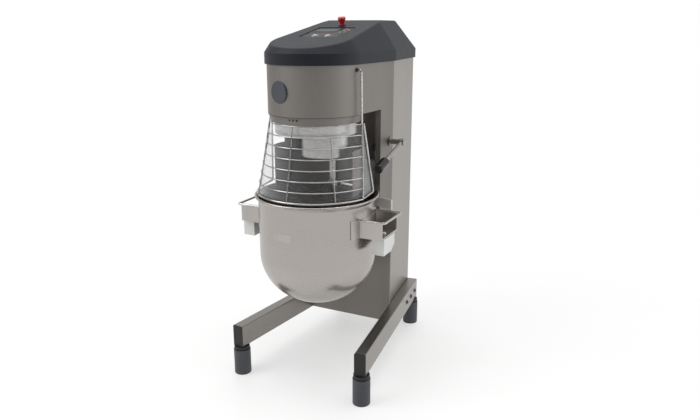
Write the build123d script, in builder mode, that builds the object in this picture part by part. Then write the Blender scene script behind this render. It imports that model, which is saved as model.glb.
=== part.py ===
from build123d import *
import os
from math import acos, atan2, cos, degrees, hypot, pi, radians, sin, tan

# Floor-standing planetary mixer with an 80-litre bowl. Millimetres, +Z up, the operator stands on the -Y side.
# Pieces are laid out from the mixing axis, a vertical line through the middle of the bowl, with z = 0 on the
# floor. finish() moves each one back so that the origin is the middle of the footprint.

os.makedirs("parts", exist_ok=True)

# Overall
SHEET = 2.0                        # stainless covers
PLATE = 3.0                        # column sheets
RUN = 0.05                         # radial running clearance
SIDES = (-1, 1)                    # left, right

# Column, a hollow box that narrows towards the back
COLUMN_FRONT = 324.0
COLUMN_REAR = 672.0
COLUMN_HALF_FRONT = 213.0
COLUMN_HALF_REAR = 171.3
COLUMN_BOTTOM = 137.0
BODY_TOP = 1380.0
RECESS_FRONT = 199.0
RECESS_BOTTOM = 540.0
CHEEK_FLANGE = 25.0

# Legs and feet
LEG_FRONT = -205.5
LEG_REAR = 675.9
LEG_WIDTH = 50.0
LEG_HEIGHT = 100.0
LEG_WALL = 3.0
LEG_BOTTOM = 135.0
CAP_FLANGE = 5.0
FOOT_RADIUS = 37.6
FOOT_INSET = 25.0                  # foot centre from the end of the leg
FOOT_TOP = 118.0
STEM_RADIUS = 8.0
BOLT_RADIUS = 6.0
BOLT_HEAD_RADIUS = 8.5
BOLT_DISTANCES = (40.0, 120.0, 200.0)  # from the rear end of the leg

# Head
DRUM_RADIUS = 198.0
DRUM_RING_RADIUS = 188.0
DRUM_RING_BOTTOM = 1150.0
HEAD_BOTTOM = 1181.0
GEARBOX_BOTTOM = 1190.0
GEARBOX_TOP = 1215.0
BADGE_RADIUS = 44.0
BADGE_ANGLE = -17.8                # from straight ahead, towards the left
BADGE_Z = 1276.0

# Hood
HOOD_LIP = 8.3
SKIRT_HEIGHT = 44.0
HOOD_TOP = 1550.0
HOOD_TAPER = 33.5
HOOD_WALL = 4.0
SLOPE = 0.19                       # rise of the sloping front towards the back
SLOPE_Z = 1480.8                   # height of the sloping front over the mixing axis
PANEL_WIDTH = 176.0
PANEL_LENGTH = 192.0
PANEL_Y = 108.0
STOP_Y = 245.0
STOP_COLLAR_BORE = 10.0
HOOD_ROUNDING = 12.0
FASCIA = 3.0
KEY_RADIUS = 9.0
KEY_PROUD = 3.5
KEYS = (                           # name, x, y
    ("stop_key", 58.0, 168.0),
    ("start_key", 58.0, 128.0),
    ("speed_up_key", 30.0, 52.0),
    ("speed_down_key", -30.0, 52.0),
)

# Planetary drive
PLANET_RADIUS = 172.0
PLANET_BOTTOM = 1098.0
PLANET_TOP = 1147.0
BOSS_RADIUS = 100.0
BOSS_BOTTOM = 1003.0
TOOL_OFFSET = 80.0
TOOL_RADIUS = 20.0
SHAFT_RADIUS = 25.0
GEAR_MODULE = 4.0
RING_TEETH = 64
PINION_TEETH = 24
GEAR_BOTTOM = 1160.0
BACKLASH = 0.15
PRESSURE = radians(20)
MOTOR_Y = 470.0
MOTOR_RADIUS = 85.0
MOTOR_BOTTOM = 960.0
MOTOR_SHAFT_RADIUS = 14.0
PULLEY_BOTTOM = 1290.0
PULLEY_TOP = 1320.0
MAIN_PULLEY_RADIUS = 115.0
MOTOR_PULLEY_RADIUS = MAIN_PULLEY_RADIUS / 4

# Bowl
BOWL_RADIUS = 252.0
BOWL_WALL = 2.5
BOWL_SPRING = 578.0                # height where the round bottom begins
BOWL_DEPTH = 228.0
RIM_Z = 834.0
RIM_RADIUS = 261.4
RIM_WIRE = 5.5
LUG_Y = 83.0
LUG_BOTTOM = 690.0
LUG_TOP = 767.0
LUG_REACH = 339.0
LUG_PAD = 3.0                      # thickness of the pad that welds a lug to the bowl
LUG_PAD_WIDTH = 248.0
HANDLE_WIRE = 5.0

# Guard, a wire visor hinged high on the head
GUARD_PIVOT_Y = -21.0
GUARD_PIVOT_Z = 1359.0
GUARD_TOP = 1146.0
GUARD_BOTTOM = 850.5
GUARD_TOP_RADIUS = 190.0
GUARD_BOTTOM_RADIUS = 253.0
GUARD_LEVELS = 8
ROD_TOP = (217.0, -14.0)
ROD_BOTTOM = (246.5, -66.0)
WIRE = 2.4
ROD = 4.0

# Bowl lift
ROD_X = 145.0
ROD_Y = 305.0
GUIDE_RADIUS = 12.0
GUIDE_TOP = 1004.0
CARRIAGE_FRONT = 276.0
PINION_LEFT = 182.0
PINION_WIDTH = 20.0
LEVER_Y = 290.0
LEVER_Z = 1030.0
LEVER_X = 270.0
LEVER_INNER = 166.0                # inner bracket of the lever shaft
LEVER_SHAFT_RADIUS = 12.0
LIFT_TEETH = 32
LEVER_TILT = 16.0                  # degrees that the lever points below level

FORK_BOTTOM = 620.0
PIN_X = 318.0
PIN_Y = -8.0
PIN_RADIUS = 8.0
RACK_BOTTOM = 876.0
RACK_TOP = 1246.0
HANDLE_Z = 766.0
HANDLE_X = 352.0
HANDLE_BEND = 12.0
HANDLE_Y = LUG_Y + HANDLE_WIRE
GUARD_HEEL = (247.0, 37.0)
GUARD_SHOULDER = (218.0, 0.0)
SHIELD = 3.0

FOOTPRINT_MIDDLE = (COLUMN_REAR + HOOD_LIP - RIM_RADIUS - RIM_WIRE) / 2


def finish(piece, node):
    """Labels a finished piece and writes it, with the origin at the middle of the footprint."""
    placed = piece.part.moved(Location((0, -FOOTPRINT_MIDDLE, 0)))
    placed.label = node
    export_step(placed, f"parts/{node}.step")


def column_half(y, inset=0.0):
    """Half the column's width at depth y, at the given distance inside its outer face."""
    slope = (COLUMN_HALF_FRONT - COLUMN_HALF_REAR) / (COLUMN_REAR - COLUMN_FRONT)
    return COLUMN_HALF_FRONT - slope * (y - COLUMN_FRONT) - inset * hypot(1, slope)


def drum_tangent(radius):
    """The point where the line to the column's front corner leaves a circle round the mixing axis."""
    corner = atan2(COLUMN_FRONT, COLUMN_HALF_FRONT)
    angle = corner - acos(radius / hypot(COLUMN_HALF_FRONT, COLUMN_FRONT))
    return radius * cos(angle), radius * sin(angle)


def head_half(y, inset=0.0):
    """Half the head's width at depth y behind the drum, at the given distance inside its outer face."""
    start_x, start_y = drum_tangent(DRUM_RADIUS)
    slope = (COLUMN_HALF_FRONT - start_x) / (COLUMN_FRONT - start_y)
    return start_x + slope * (y - start_y) - inset * hypot(1, slope)


def across(low, high, half, inset):
    """Corners of a strip across the machine, from depth low to depth high, between the side faces."""
    return (
        (-half(low, inset), low),
        (half(low, inset), low),
        (half(high, inset), high),
        (-half(high, inset), high),
    )


def head_face(inset):
    """Plan of the head: a round front with sides that splay out to the column."""
    side_x, side_y = drum_tangent(DRUM_RADIUS)
    scale = (DRUM_RADIUS - inset) / DRUM_RADIUS
    side = (side_x * scale, side_y * scale)
    back = (head_half(COLUMN_FRONT, inset), COLUMN_FRONT)
    with BuildSketch(Plane.XY, mode=Mode.PRIVATE) as plan:
        with BuildLine():
            ThreePointArc(side, (0, inset - DRUM_RADIUS), (-side[0], side[1]))
            Polyline((-side[0], side[1]), (-back[0], back[1]), back, side)
        make_face()
    return plan.sketch_local


def hood_face(lip):
    """Plan of head and column together, widened by lip."""
    side = drum_tangent(DRUM_RADIUS)
    front = (COLUMN_HALF_FRONT, COLUMN_FRONT)
    rear = (COLUMN_HALF_REAR, COLUMN_REAR)
    with BuildSketch(Plane.XY, mode=Mode.PRIVATE) as plan:
        with BuildLine():
            ThreePointArc(side, (0, -DRUM_RADIUS), (-side[0], side[1]))
            Polyline((-side[0], side[1]), (-front[0], front[1]), (-rear[0], rear[1]), rear, front, side)
        make_face()
        offset(amount=lip, kind=Kind.INTERSECTION)
    return plan.sketch_local


def slope_plane(y, x=0.0):
    """Plane on the hood's sloping front: x to the right, y up the slope, z out of it."""
    return Plane(origin=(x, y, SLOPE_Z + SLOPE * y), x_dir=(1, 0, 0), z_dir=(0, -SLOPE, 1))


def leg_outer(y):
    """Distance of a leg's outer face from the middle at depth y."""
    return column_half(y, -LEG_WIDTH)


def leg_plane(side, distance):
    """Plane across a leg at a distance from its front end: x points outwards and z back along the leg."""
    front = Vector(side * leg_outer(LEG_FRONT), LEG_FRONT, LEG_BOTTOM + LEG_HEIGHT / 2)
    rear = Vector(side * leg_outer(LEG_REAR), LEG_REAR, LEG_BOTTOM + LEG_HEIGHT / 2)
    along = (rear - front).normalized()
    outward = Vector(along.Y, -along.X, 0) * side
    middle = front + along * distance - outward * (LEG_WIDTH / 2)
    return Plane(origin=middle, x_dir=outward, z_dir=along)


LEG_LENGTH = hypot(LEG_REAR - LEG_FRONT, leg_outer(LEG_FRONT) - leg_outer(LEG_REAR))


def bolt_plane(side, distance):
    """Plane on a leg's outer face at a bolt: z points outwards."""
    section = leg_plane(side, LEG_LENGTH - distance)
    return Plane(origin=section.origin + section.x_dir * (LEG_WIDTH / 2), x_dir=section.z_dir, z_dir=section.x_dir)


def foot_plane(side, end):
    """Level plane on the floor under a foot; end is -1 for the front and 1 for the rear."""
    distance = FOOT_INSET if end < 0 else LEG_LENGTH - FOOT_INSET
    centre = leg_plane(side, distance).origin
    return Plane(origin=(centre.X, centre.Y, 0))


def involute_gear(teeth, thickness_change, tip, root):
    """Outline of a gear about the origin with a tooth on +X; tip and root are radii."""
    pitch = GEAR_MODULE * teeth / 2
    base = pitch * cos(PRESSURE)
    half_pitch = pi / (2 * teeth) + thickness_change / pitch + tan(PRESSURE) - PRESSURE
    steps = 4
    low = max(base, root)
    flank = []
    for step in range(steps + 1):
        radius = low + (tip - low) * step / steps
        roll = acos(base / radius)
        flank.append((radius, half_pitch - (tan(roll) - roll)))
    if root < base:
        flank.insert(0, (root, flank[0][1]))
    points = []
    for tooth in range(teeth):
        centre = 2 * pi * tooth / teeth
        polar = [(radius, centre - angle) for radius, angle in flank]
        polar += [(radius, centre + angle) for radius, angle in reversed(flank)]
        points += [(radius * cos(angle), radius * sin(angle)) for radius, angle in polar]
    with BuildSketch(Plane.XY, mode=Mode.PRIVATE) as outline:
        with BuildLine():
            Polyline(*points, close=True)
        make_face()
    return outline.sketch_local


def pinion_face(teeth):
    """Outline of an outside gear of standard proportions."""
    return involute_gear(teeth, -BACKLASH, GEAR_MODULE * (teeth / 2 + 1), GEAR_MODULE * (teeth / 2 - 1.25))


# ---------------------------------------------------------------- legs and feet

for side, name in zip(SIDES, ("left", "right")):
    with BuildPart() as leg_tube:
        with BuildSketch(leg_plane(side, CAP_FLANGE)):
            RectangleRounded(LEG_WIDTH, LEG_HEIGHT, 4)
            RectangleRounded(LEG_WIDTH - 2 * LEG_WALL, LEG_HEIGHT - 2 * LEG_WALL, 1.5, mode=Mode.SUBTRACT)
        extrude(amount=LEG_LENGTH - 2 * CAP_FLANGE)
        for distance in BOLT_DISTANCES:
            with BuildSketch(bolt_plane(side, distance)):
                Circle(BOLT_RADIUS)
            extrude(amount=-LEG_WIDTH, mode=Mode.SUBTRACT)
        for end in (-1, 1):
            with BuildSketch(foot_plane(side, end).offset(LEG_BOTTOM)):
                Circle(STEM_RADIUS + 2)
            extrude(amount=2 * LEG_WALL, mode=Mode.SUBTRACT)
    finish(leg_tube, f"leg_tube_{name}")

with BuildPart() as leg_end_caps:
    for side in SIDES:
        for distance, inward in ((0.0, 1), (LEG_LENGTH, -1)):
            with BuildSketch(leg_plane(side, distance)):
                RectangleRounded(LEG_WIDTH, LEG_HEIGHT, 4)
            extrude(amount=inward * CAP_FLANGE)
            with BuildSketch(leg_plane(side, distance + inward * CAP_FLANGE)):
                RectangleRounded(LEG_WIDTH - 2 * LEG_WALL, LEG_HEIGHT - 2 * LEG_WALL, 1.5)
            extrude(amount=inward * 4)
finish(leg_end_caps, "leg_end_caps")

with BuildPart() as leg_bolts:
    for side in SIDES:
        for distance in BOLT_DISTANCES:
            with BuildSketch(bolt_plane(side, distance)):
                RegularPolygon(BOLT_HEAD_RADIUS, 6)
            extrude(amount=7)
            with BuildSketch(bolt_plane(side, distance)):
                Circle(BOLT_RADIUS)
            extrude(amount=-LEG_WIDTH)
finish(leg_bolts, "leg_bolts")

with BuildPart() as foot_collars:
    for side in SIDES:
        for end in (-1, 1):
            floor = foot_plane(side, end)
            with BuildSketch(floor.offset(FOOT_TOP + 3)):
                Circle(FOOT_RADIUS - 3)
                Circle(STEM_RADIUS + RUN, mode=Mode.SUBTRACT)
            extrude(amount=LEG_BOTTOM - FOOT_TOP - 3)
finish(foot_collars, "foot_collars")

for side, side_name in zip(SIDES, ("left", "right")):
    for end, end_name in zip((-1, 1), ("front", "rear")):
        floor = foot_plane(side, end)
        with BuildPart() as foot:
            with BuildSketch(floor):
                Circle(FOOT_RADIUS)
            extrude(amount=FOOT_TOP)
            fillet(foot.edges().filter_by(GeomType.CIRCLE).group_by(Axis.Z)[0], 3)
            fillet(foot.edges().filter_by(GeomType.CIRCLE).group_by(Axis.Z)[-1], 1.5)
            with BuildSketch(floor.offset(FOOT_TOP)):
                Circle(STEM_RADIUS)
            extrude(amount=60)
        finish(foot, f"foot_{end_name}_{side_name}")

# ---------------------------------------------------------------- column

for side, name in zip(SIDES, ("left", "right")):
    with BuildPart() as column_side:
        with BuildSketch(Plane.XY.offset(COLUMN_BOTTOM)):
            with BuildLine():
                Polyline(
                    (side * column_half(COLUMN_FRONT), COLUMN_FRONT),
                    (side * column_half(COLUMN_REAR), COLUMN_REAR),
                    (side * column_half(COLUMN_REAR, PLATE), COLUMN_REAR),
                    (side * column_half(COLUMN_FRONT, PLATE), COLUMN_FRONT),
                    close=True,
                )
            make_face()
        extrude(amount=BODY_TOP - COLUMN_BOTTOM)
    finish(column_side, f"column_side_{name}")

with BuildPart() as column_front:
    with BuildSketch(Plane.XY.offset(COLUMN_BOTTOM)):
        with BuildLine():
            Polyline(*across(COLUMN_FRONT, COLUMN_FRONT + PLATE, column_half, PLATE), close=True)
        make_face()
    extrude(amount=BODY_TOP - COLUMN_BOTTOM)
    with BuildSketch(Plane.XZ.offset(-COLUMN_FRONT)):
        with Locations((0, (GEARBOX_BOTTOM + PULLEY_TOP) / 2 + 5)):
            Rectangle(330, PULLEY_TOP - GEARBOX_BOTTOM + 20)
        with Locations((PINION_LEFT + PINION_WIDTH / 2, LEVER_Z)):
            Rectangle(PINION_WIDTH + 8, 150)
    extrude(amount=-PLATE, mode=Mode.SUBTRACT)
finish(column_front, "column_front")

with BuildPart() as rear_cover:
    with BuildSketch(Plane.XY.offset(COLUMN_BOTTOM)):
        with BuildLine():
            Polyline(*across(COLUMN_REAR - PLATE, COLUMN_REAR, column_half, PLATE), close=True)
        make_face()
    extrude(amount=BODY_TOP - COLUMN_BOTTOM)
    with BuildSketch(Plane.XZ.offset(-COLUMN_REAR)):
        with Locations((0, 300), (0, 1240)):
            with GridLocations(0, 18, 1, 8):
                SlotOverall(180, 7)
    extrude(amount=PLATE, mode=Mode.SUBTRACT)
finish(rear_cover, "rear_cover")

with BuildPart() as rear_cover_screws:
    with BuildSketch(Plane.XZ.offset(-COLUMN_REAR)):
        with Locations((0, (COLUMN_BOTTOM + BODY_TOP) / 2)):
            with GridLocations(310, 400, 2, 4):
                Circle(6)
    extrude(amount=-3)
    fillet(rear_cover_screws.edges().group_by(Axis.Y)[-1], 1.5)
finish(rear_cover_screws, "rear_cover_screws")

with BuildPart() as column_base:
    with BuildSketch(Plane.XY.offset(COLUMN_BOTTOM)):
        with BuildLine():
            Polyline(*across(COLUMN_FRONT + PLATE, COLUMN_REAR - PLATE, column_half, PLATE), close=True)
        make_face()
        with Locations((0, 600)):
            Circle(12, mode=Mode.SUBTRACT)
    extrude(amount=5)
finish(column_base, "column_base")

with BuildPart() as mains_gland:
    with BuildSketch(Plane.XY.offset(COLUMN_BOTTOM - 26)):
        with Locations((0, 600)):
            Circle(15)
    extrude(amount=14)
    with BuildSketch(Plane.XY.offset(COLUMN_BOTTOM - 12)):
        with Locations((0, 600)):
            RegularPolygon(19, 6)
    extrude(amount=12)
    with BuildSketch(Plane.XY.offset(COLUMN_BOTTOM)):
        with Locations((0, 600)):
            Circle(12)
    extrude(amount=16)
    with BuildSketch(Plane.XY.offset(COLUMN_BOTTOM - 26)):
        with Locations((0, 600)):
            Circle(6.5)
    extrude(amount=42, mode=Mode.SUBTRACT)
finish(mains_gland, "mains_gland")

with BuildPart() as inverter:
    with BuildSketch(Plane.XY.offset(330)):
        with Locations((0, COLUMN_FRONT + PLATE + 45)):
            RectangleRounded(240, 90, 6)
    extrude(amount=320)
    with BuildSketch(Plane.XZ.offset(-COLUMN_FRONT - PLATE - 90)):
        with Locations((0, 490)):
            with GridLocations(16, 0, 13, 1):
                Rectangle(7, 280)
    extrude(amount=14, mode=Mode.SUBTRACT)
finish(inverter, "inverter")

# ---------------------------------------------------------------- recess for the bowl lift

with BuildPart() as recess_cheeks:
    for side in SIDES:
        with BuildSketch(Plane.XY.offset(RECESS_BOTTOM)):
            with BuildLine():
                Polyline(
                    (side * head_half(RECESS_FRONT), RECESS_FRONT),
                    (side * head_half(COLUMN_FRONT), COLUMN_FRONT),
                    (side * head_half(COLUMN_FRONT, PLATE), COLUMN_FRONT),
                    (side * head_half(RECESS_FRONT + PLATE, PLATE), RECESS_FRONT + PLATE),
                    (side * (head_half(RECESS_FRONT) - CHEEK_FLANGE), RECESS_FRONT + PLATE),
                    (side * (head_half(RECESS_FRONT) - CHEEK_FLANGE), RECESS_FRONT),
                    close=True,
                )
            make_face()
        extrude(amount=HEAD_BOTTOM - RECESS_BOTTOM)
    with BuildSketch(Plane.YZ.offset(PINION_LEFT)):
        with Locations((LEVER_Y, LEVER_Z)):
            Circle(20)
    extrude(amount=120, mode=Mode.SUBTRACT)
finish(recess_cheeks, "recess_cheeks")

with BuildPart() as guide_rods:
    with BuildSketch(Plane.XY.offset(RECESS_BOTTOM)):
        with Locations((-ROD_X, ROD_Y), (ROD_X, ROD_Y)):
            Circle(GUIDE_RADIUS)
    extrude(amount=GUIDE_TOP - RECESS_BOTTOM)
finish(guide_rods, "guide_rods")

with BuildPart() as rod_brackets:
    for low in (RECESS_BOTTOM, GUIDE_TOP - 24.0):
        with BuildSketch(Plane.XY.offset(low)):
            for side in SIDES:
                with Locations((side * ROD_X, (ROD_Y + COLUMN_FRONT) / 2 - 7.5)):
                    Rectangle(40, COLUMN_FRONT - ROD_Y + 15)
                with Locations((side * ROD_X, ROD_Y)):
                    Circle(GUIDE_RADIUS, mode=Mode.SUBTRACT)
        extrude(amount=24)
finish(rod_brackets, "rod_brackets")

with BuildPart() as lever_bushes:
    with BuildSketch(Plane.YZ.offset(head_half(LEVER_Y, 8))):
        with Locations((LEVER_Y, LEVER_Z)):
            Circle(20)
            Circle(LEVER_SHAFT_RADIUS + RUN, mode=Mode.SUBTRACT)
    extrude(amount=14)
    with BuildSketch(Plane.YZ.offset(LEVER_INNER)):
        with Locations(((LEVER_Y - 24 + COLUMN_FRONT) / 2, LEVER_Z)):
            Rectangle(COLUMN_FRONT - LEVER_Y + 24, 48)
        with Locations((LEVER_Y, LEVER_Z)):
            Circle(LEVER_SHAFT_RADIUS + RUN, mode=Mode.SUBTRACT)
    extrude(amount=14)
finish(lever_bushes, "lever_bushes")

# ---------------------------------------------------------------- head

with BuildPart() as head_casing:
    with BuildSketch(Plane.XY.offset(HEAD_BOTTOM)):
        add(head_face(0))
        add(head_face(SHEET), mode=Mode.SUBTRACT)
    extrude(amount=BODY_TOP - HEAD_BOTTOM)
    with BuildSketch(Plane.YZ.offset(-DRUM_RADIUS - 20)):
        with Locations((GUARD_PIVOT_Y, GUARD_PIVOT_Z)):
            Circle(9)
    extrude(amount=2 * DRUM_RADIUS + 40, mode=Mode.SUBTRACT)
finish(head_casing, "head_casing")

with BuildPart() as guard_bushes:
    for side in SIDES:
        with BuildSketch(Plane.YZ.offset(side * (DRUM_RADIUS - 12))):
            with Locations((GUARD_PIVOT_Y, GUARD_PIVOT_Z)):
                Circle(9)
                Circle(ROD + RUN, mode=Mode.SUBTRACT)
        extrude(amount=side * 14)
finish(guard_bushes, "guard_bushes")

with BuildPart() as drum_ring:
    with BuildSketch(Plane.XY.offset(DRUM_RING_BOTTOM)):
        Circle(DRUM_RING_RADIUS)
        Circle(DRUM_RING_RADIUS - 8, mode=Mode.SUBTRACT)
    extrude(amount=HEAD_BOTTOM - DRUM_RING_BOTTOM)
    with BuildSketch(Plane.XY.offset(HEAD_BOTTOM - 3)):
        Circle(DRUM_RADIUS - 1)
        Circle(DRUM_RING_RADIUS - 8, mode=Mode.SUBTRACT)
    extrude(amount=3)
    for angle in (-5.0, 0.0, 5.0):
        with BuildSketch(Plane.XZ.rotated((0, 0, angle)).offset(DRUM_RING_RADIUS - 9)):
            with Locations((0, HEAD_BOTTOM - 12)):
                Circle(3.8)
        extrude(amount=12, mode=Mode.SUBTRACT)
finish(drum_ring, "drum_ring")

with BuildPart() as head_floor:
    with BuildSketch(Plane.XY.offset(HEAD_BOTTOM)):
        add(head_face(SHEET))
        Circle(156, mode=Mode.SUBTRACT)
        with Locations((PINION_LEFT + PINION_WIDTH - 5, 218)):
            Rectangle(PINION_WIDTH + 18, 40, mode=Mode.SUBTRACT)
    extrude(amount=PLATE)
finish(head_floor, "head_floor")

with BuildPart() as gearbox_plate:
    with BuildSketch(Plane.XY.offset(GEARBOX_BOTTOM)):
        Circle(165)
        with Locations((0, 200)):
            Rectangle(240, 400)
    extrude(amount=GEARBOX_TOP - GEARBOX_BOTTOM)
    with BuildSketch(Plane.XY.offset(GEARBOX_BOTTOM)):
        with BuildLine():
            Polyline(*across(COLUMN_FRONT + PLATE, 575, column_half, PLATE), close=True)
        make_face()
    extrude(amount=GEARBOX_TOP - GEARBOX_BOTTOM)
    with BuildSketch(Plane.XY.offset(GEARBOX_TOP)):
        Circle(48)
    extrude(amount=60)
    with BuildSketch(Plane.XY.offset(GEARBOX_BOTTOM)):
        Circle(37)
        with Locations((0, MOTOR_Y)):
            Circle(24)
    extrude(amount=200, mode=Mode.SUBTRACT)
finish(gearbox_plate, "gearbox_plate")

with BuildPart() as main_bearings:
    for low in (GEARBOX_BOTTOM, GEARBOX_TOP + 38):
        with BuildSketch(Plane.XY.offset(low)):
            Circle(37)
            Circle(SHAFT_RADIUS + RUN, mode=Mode.SUBTRACT)
        extrude(amount=20)
finish(main_bearings, "main_bearings")

with BuildPart() as ring_gear:
    with BuildSketch(Plane.XY.offset(GEAR_BOTTOM)):
        Circle(152)
    extrude(amount=GEARBOX_BOTTOM - GEAR_BOTTOM)
    with BuildSketch(Plane.XY.offset(GEAR_BOTTOM)):
        tooth_tips = GEAR_MODULE * (RING_TEETH / 2 - 1)
        add(involute_gear(RING_TEETH, BACKLASH, GEAR_MODULE * (RING_TEETH / 2 + 1.25), tooth_tips))
    extrude(amount=GEARBOX_BOTTOM - GEAR_BOTTOM, mode=Mode.SUBTRACT)
finish(ring_gear, "ring_gear")

badge_plane = Plane(
    origin=(DRUM_RADIUS * sin(radians(BADGE_ANGLE)), -DRUM_RADIUS * cos(radians(BADGE_ANGLE)), BADGE_Z),
    x_dir=(cos(radians(BADGE_ANGLE)), sin(radians(BADGE_ANGLE)), 0),
    z_dir=(sin(radians(BADGE_ANGLE)), -cos(radians(BADGE_ANGLE)), 0),
)
with BuildPart() as hub_badge:
    with BuildSketch(badge_plane.offset(-6)):
        Circle(BADGE_RADIUS)
    extrude(amount=9)
    fillet(hub_badge.edges().filter_by(GeomType.CIRCLE).sort_by(Axis.Y)[0], 2)
    with BuildSketch(Plane.XY.offset(BADGE_Z - 60)):
        Circle(DRUM_RADIUS)
    extrude(amount=120, mode=Mode.SUBTRACT)
finish(hub_badge, "hub_badge")

# ---------------------------------------------------------------- drive

with BuildPart() as motor_housing:
    with BuildSketch(Plane.XY.offset(MOTOR_BOTTOM)):
        with Locations((0, MOTOR_Y)):
            Circle(MOTOR_RADIUS)
    extrude(amount=GEARBOX_BOTTOM - MOTOR_BOTTOM)
    with BuildSketch(Plane.XY.offset(MOTOR_BOTTOM + 30)):
        with Locations((0, MOTOR_Y)):
            with PolarLocations(MOTOR_RADIUS, 28):
                Rectangle(16, 9)
    extrude(amount=GEARBOX_BOTTOM - MOTOR_BOTTOM - 50, mode=Mode.SUBTRACT)
    with BuildSketch(Plane.XY.offset(MOTOR_BOTTOM + 20)):
        with Locations((0, MOTOR_Y)):
            Circle(MOTOR_SHAFT_RADIUS + RUN)
    extrude(amount=GEARBOX_BOTTOM, mode=Mode.SUBTRACT)
finish(motor_housing, "motor_housing")

with BuildPart() as motor_shaft:
    with BuildSketch(Plane.XY.offset(MOTOR_BOTTOM + 24)):
        with Locations((0, MOTOR_Y)):
            Circle(MOTOR_SHAFT_RADIUS)
    extrude(amount=PULLEY_TOP + 8 - MOTOR_BOTTOM - 24)
finish(motor_shaft, "motor_shaft")


def pulley(centre_y, radius, bore):
    """A belt pulley with a low flange above and below the belt."""
    with BuildPart() as wheel:
        with BuildSketch(Plane.XY.offset(PULLEY_BOTTOM)):
            with Locations((0, centre_y)):
                Circle(radius)
        extrude(amount=PULLEY_TOP - PULLEY_BOTTOM)
        for low in (PULLEY_BOTTOM - 3, PULLEY_TOP):
            with BuildSketch(Plane.XY.offset(low)):
                with Locations((0, centre_y)):
                    Circle(radius + 6)
            extrude(amount=3)
        with BuildSketch(Plane.XY.offset(PULLEY_BOTTOM - 3)):
            with Locations((0, centre_y)):
                Circle(bore)
        extrude(amount=PULLEY_TOP - PULLEY_BOTTOM + 6, mode=Mode.SUBTRACT)
        if radius > 4 * bore:
            with BuildSketch(Plane.XY.offset(PULLEY_BOTTOM + 9)):
                with Locations((0, centre_y)):
                    Circle(radius - 12)
                    Circle(bore + 16, mode=Mode.SUBTRACT)
            extrude(amount=PULLEY_TOP - PULLEY_BOTTOM, mode=Mode.SUBTRACT)
    return wheel


finish(pulley(0, MAIN_PULLEY_RADIUS, SHAFT_RADIUS), "main_pulley")
finish(pulley(MOTOR_Y, MOTOR_PULLEY_RADIUS, MOTOR_SHAFT_RADIUS), "motor_pulley")

with BuildPart() as drive_belt:
    for gap, mode in ((5.4, Mode.ADD), (0.4, Mode.SUBTRACT)):
        with BuildSketch(Plane.XY.offset(PULLEY_BOTTOM + 2)):
            Circle(MAIN_PULLEY_RADIUS + gap)
            with Locations((0, MOTOR_Y)):
                Circle(MOTOR_PULLEY_RADIUS + gap)
            make_hull()
        extrude(amount=PULLEY_TOP - PULLEY_BOTTOM - 4, mode=mode)
finish(drive_belt, "drive_belt")

with BuildPart() as main_shaft:
    with BuildSketch(Plane.XY.offset(PLANET_BOTTOM + 6)):
        Circle(SHAFT_RADIUS)
    extrude(amount=PULLEY_TOP + 12 - PLANET_BOTTOM - 6)
finish(main_shaft, "main_shaft")

with BuildPart() as planet_head:
    with BuildSketch(Plane.XY.offset(PLANET_BOTTOM)):
        Circle(PLANET_RADIUS)
    extrude(amount=PLANET_TOP - PLANET_BOTTOM)
    fillet(planet_head.edges().filter_by(GeomType.CIRCLE).group_by(Axis.Z)[0], 4)
    with BuildSketch(Plane.XY.offset(PLANET_BOTTOM + 16)):
        Circle(PLANET_RADIUS - 8)
        Circle(SHAFT_RADIUS + 18, mode=Mode.SUBTRACT)
        with Locations((TOOL_OFFSET, 0)):
            Circle(TOOL_RADIUS + 14, mode=Mode.SUBTRACT)
    extrude(amount=PLANET_TOP, mode=Mode.SUBTRACT)
    with BuildSketch(Plane.XY.offset(BOSS_BOTTOM)):
        with Locations((TOOL_OFFSET / 2, 0)):
            Circle(BOSS_RADIUS)
    extrude(amount=PLANET_BOTTOM - BOSS_BOTTOM + 2)
    fillet(planet_head.edges().filter_by(GeomType.CIRCLE).group_by(Axis.Z)[0], 6)
    with BuildSketch(Plane.XY.offset(BOSS_BOTTOM)):
        with Locations((TOOL_OFFSET, 0)):
            Circle(TOOL_RADIUS + RUN)
    extrude(amount=PLANET_TOP - BOSS_BOTTOM, mode=Mode.SUBTRACT)
    with BuildSketch(Plane.XY.offset(PLANET_BOTTOM + 6)):
        Circle(SHAFT_RADIUS)
    extrude(amount=PLANET_TOP, mode=Mode.SUBTRACT)
finish(planet_head, "planet_head")

with BuildPart() as scraper_socket:
    with BuildSketch(Plane.XY.offset(BOSS_BOTTOM + 22)):
        with Locations((-98, -18)):
            RectangleRounded(66, 60, 8)
        with Locations((TOOL_OFFSET / 2, 0)):
            Circle(BOSS_RADIUS, mode=Mode.SUBTRACT)
    extrude(amount=PLANET_BOTTOM - BOSS_BOTTOM - 22)
finish(scraper_socket, "scraper_socket")

with BuildPart() as tool_shaft:
    for low, high, radius in ((905.0, 1188.0, TOOL_RADIUS), (880.0, 905.0, 30.0), (845.0, 880.0, 23.0)):
        with BuildSketch(Plane.XY.offset(low)):
            with Locations((TOOL_OFFSET, 0)):
                Circle(radius)
        extrude(amount=high - low)
    chamfer(tool_shaft.edges().filter_by(GeomType.CIRCLE).group_by(Axis.Z)[0], 3)
    with BuildSketch(Plane.XZ.offset(-50)):
        with Locations((TOOL_OFFSET, 866)):
            Rectangle(11, 44)
    extrude(amount=100, mode=Mode.SUBTRACT)
finish(tool_shaft, "tool_shaft")

with BuildPart() as planet_pinion:
    with BuildSketch(Plane(origin=(TOOL_OFFSET, 0, GEAR_BOTTOM))):
        add(pinion_face(PINION_TEETH))
        Circle(TOOL_RADIUS, mode=Mode.SUBTRACT)
    extrude(amount=26)
finish(planet_pinion, "planet_pinion")

# ---------------------------------------------------------------- hood and panel


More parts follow.
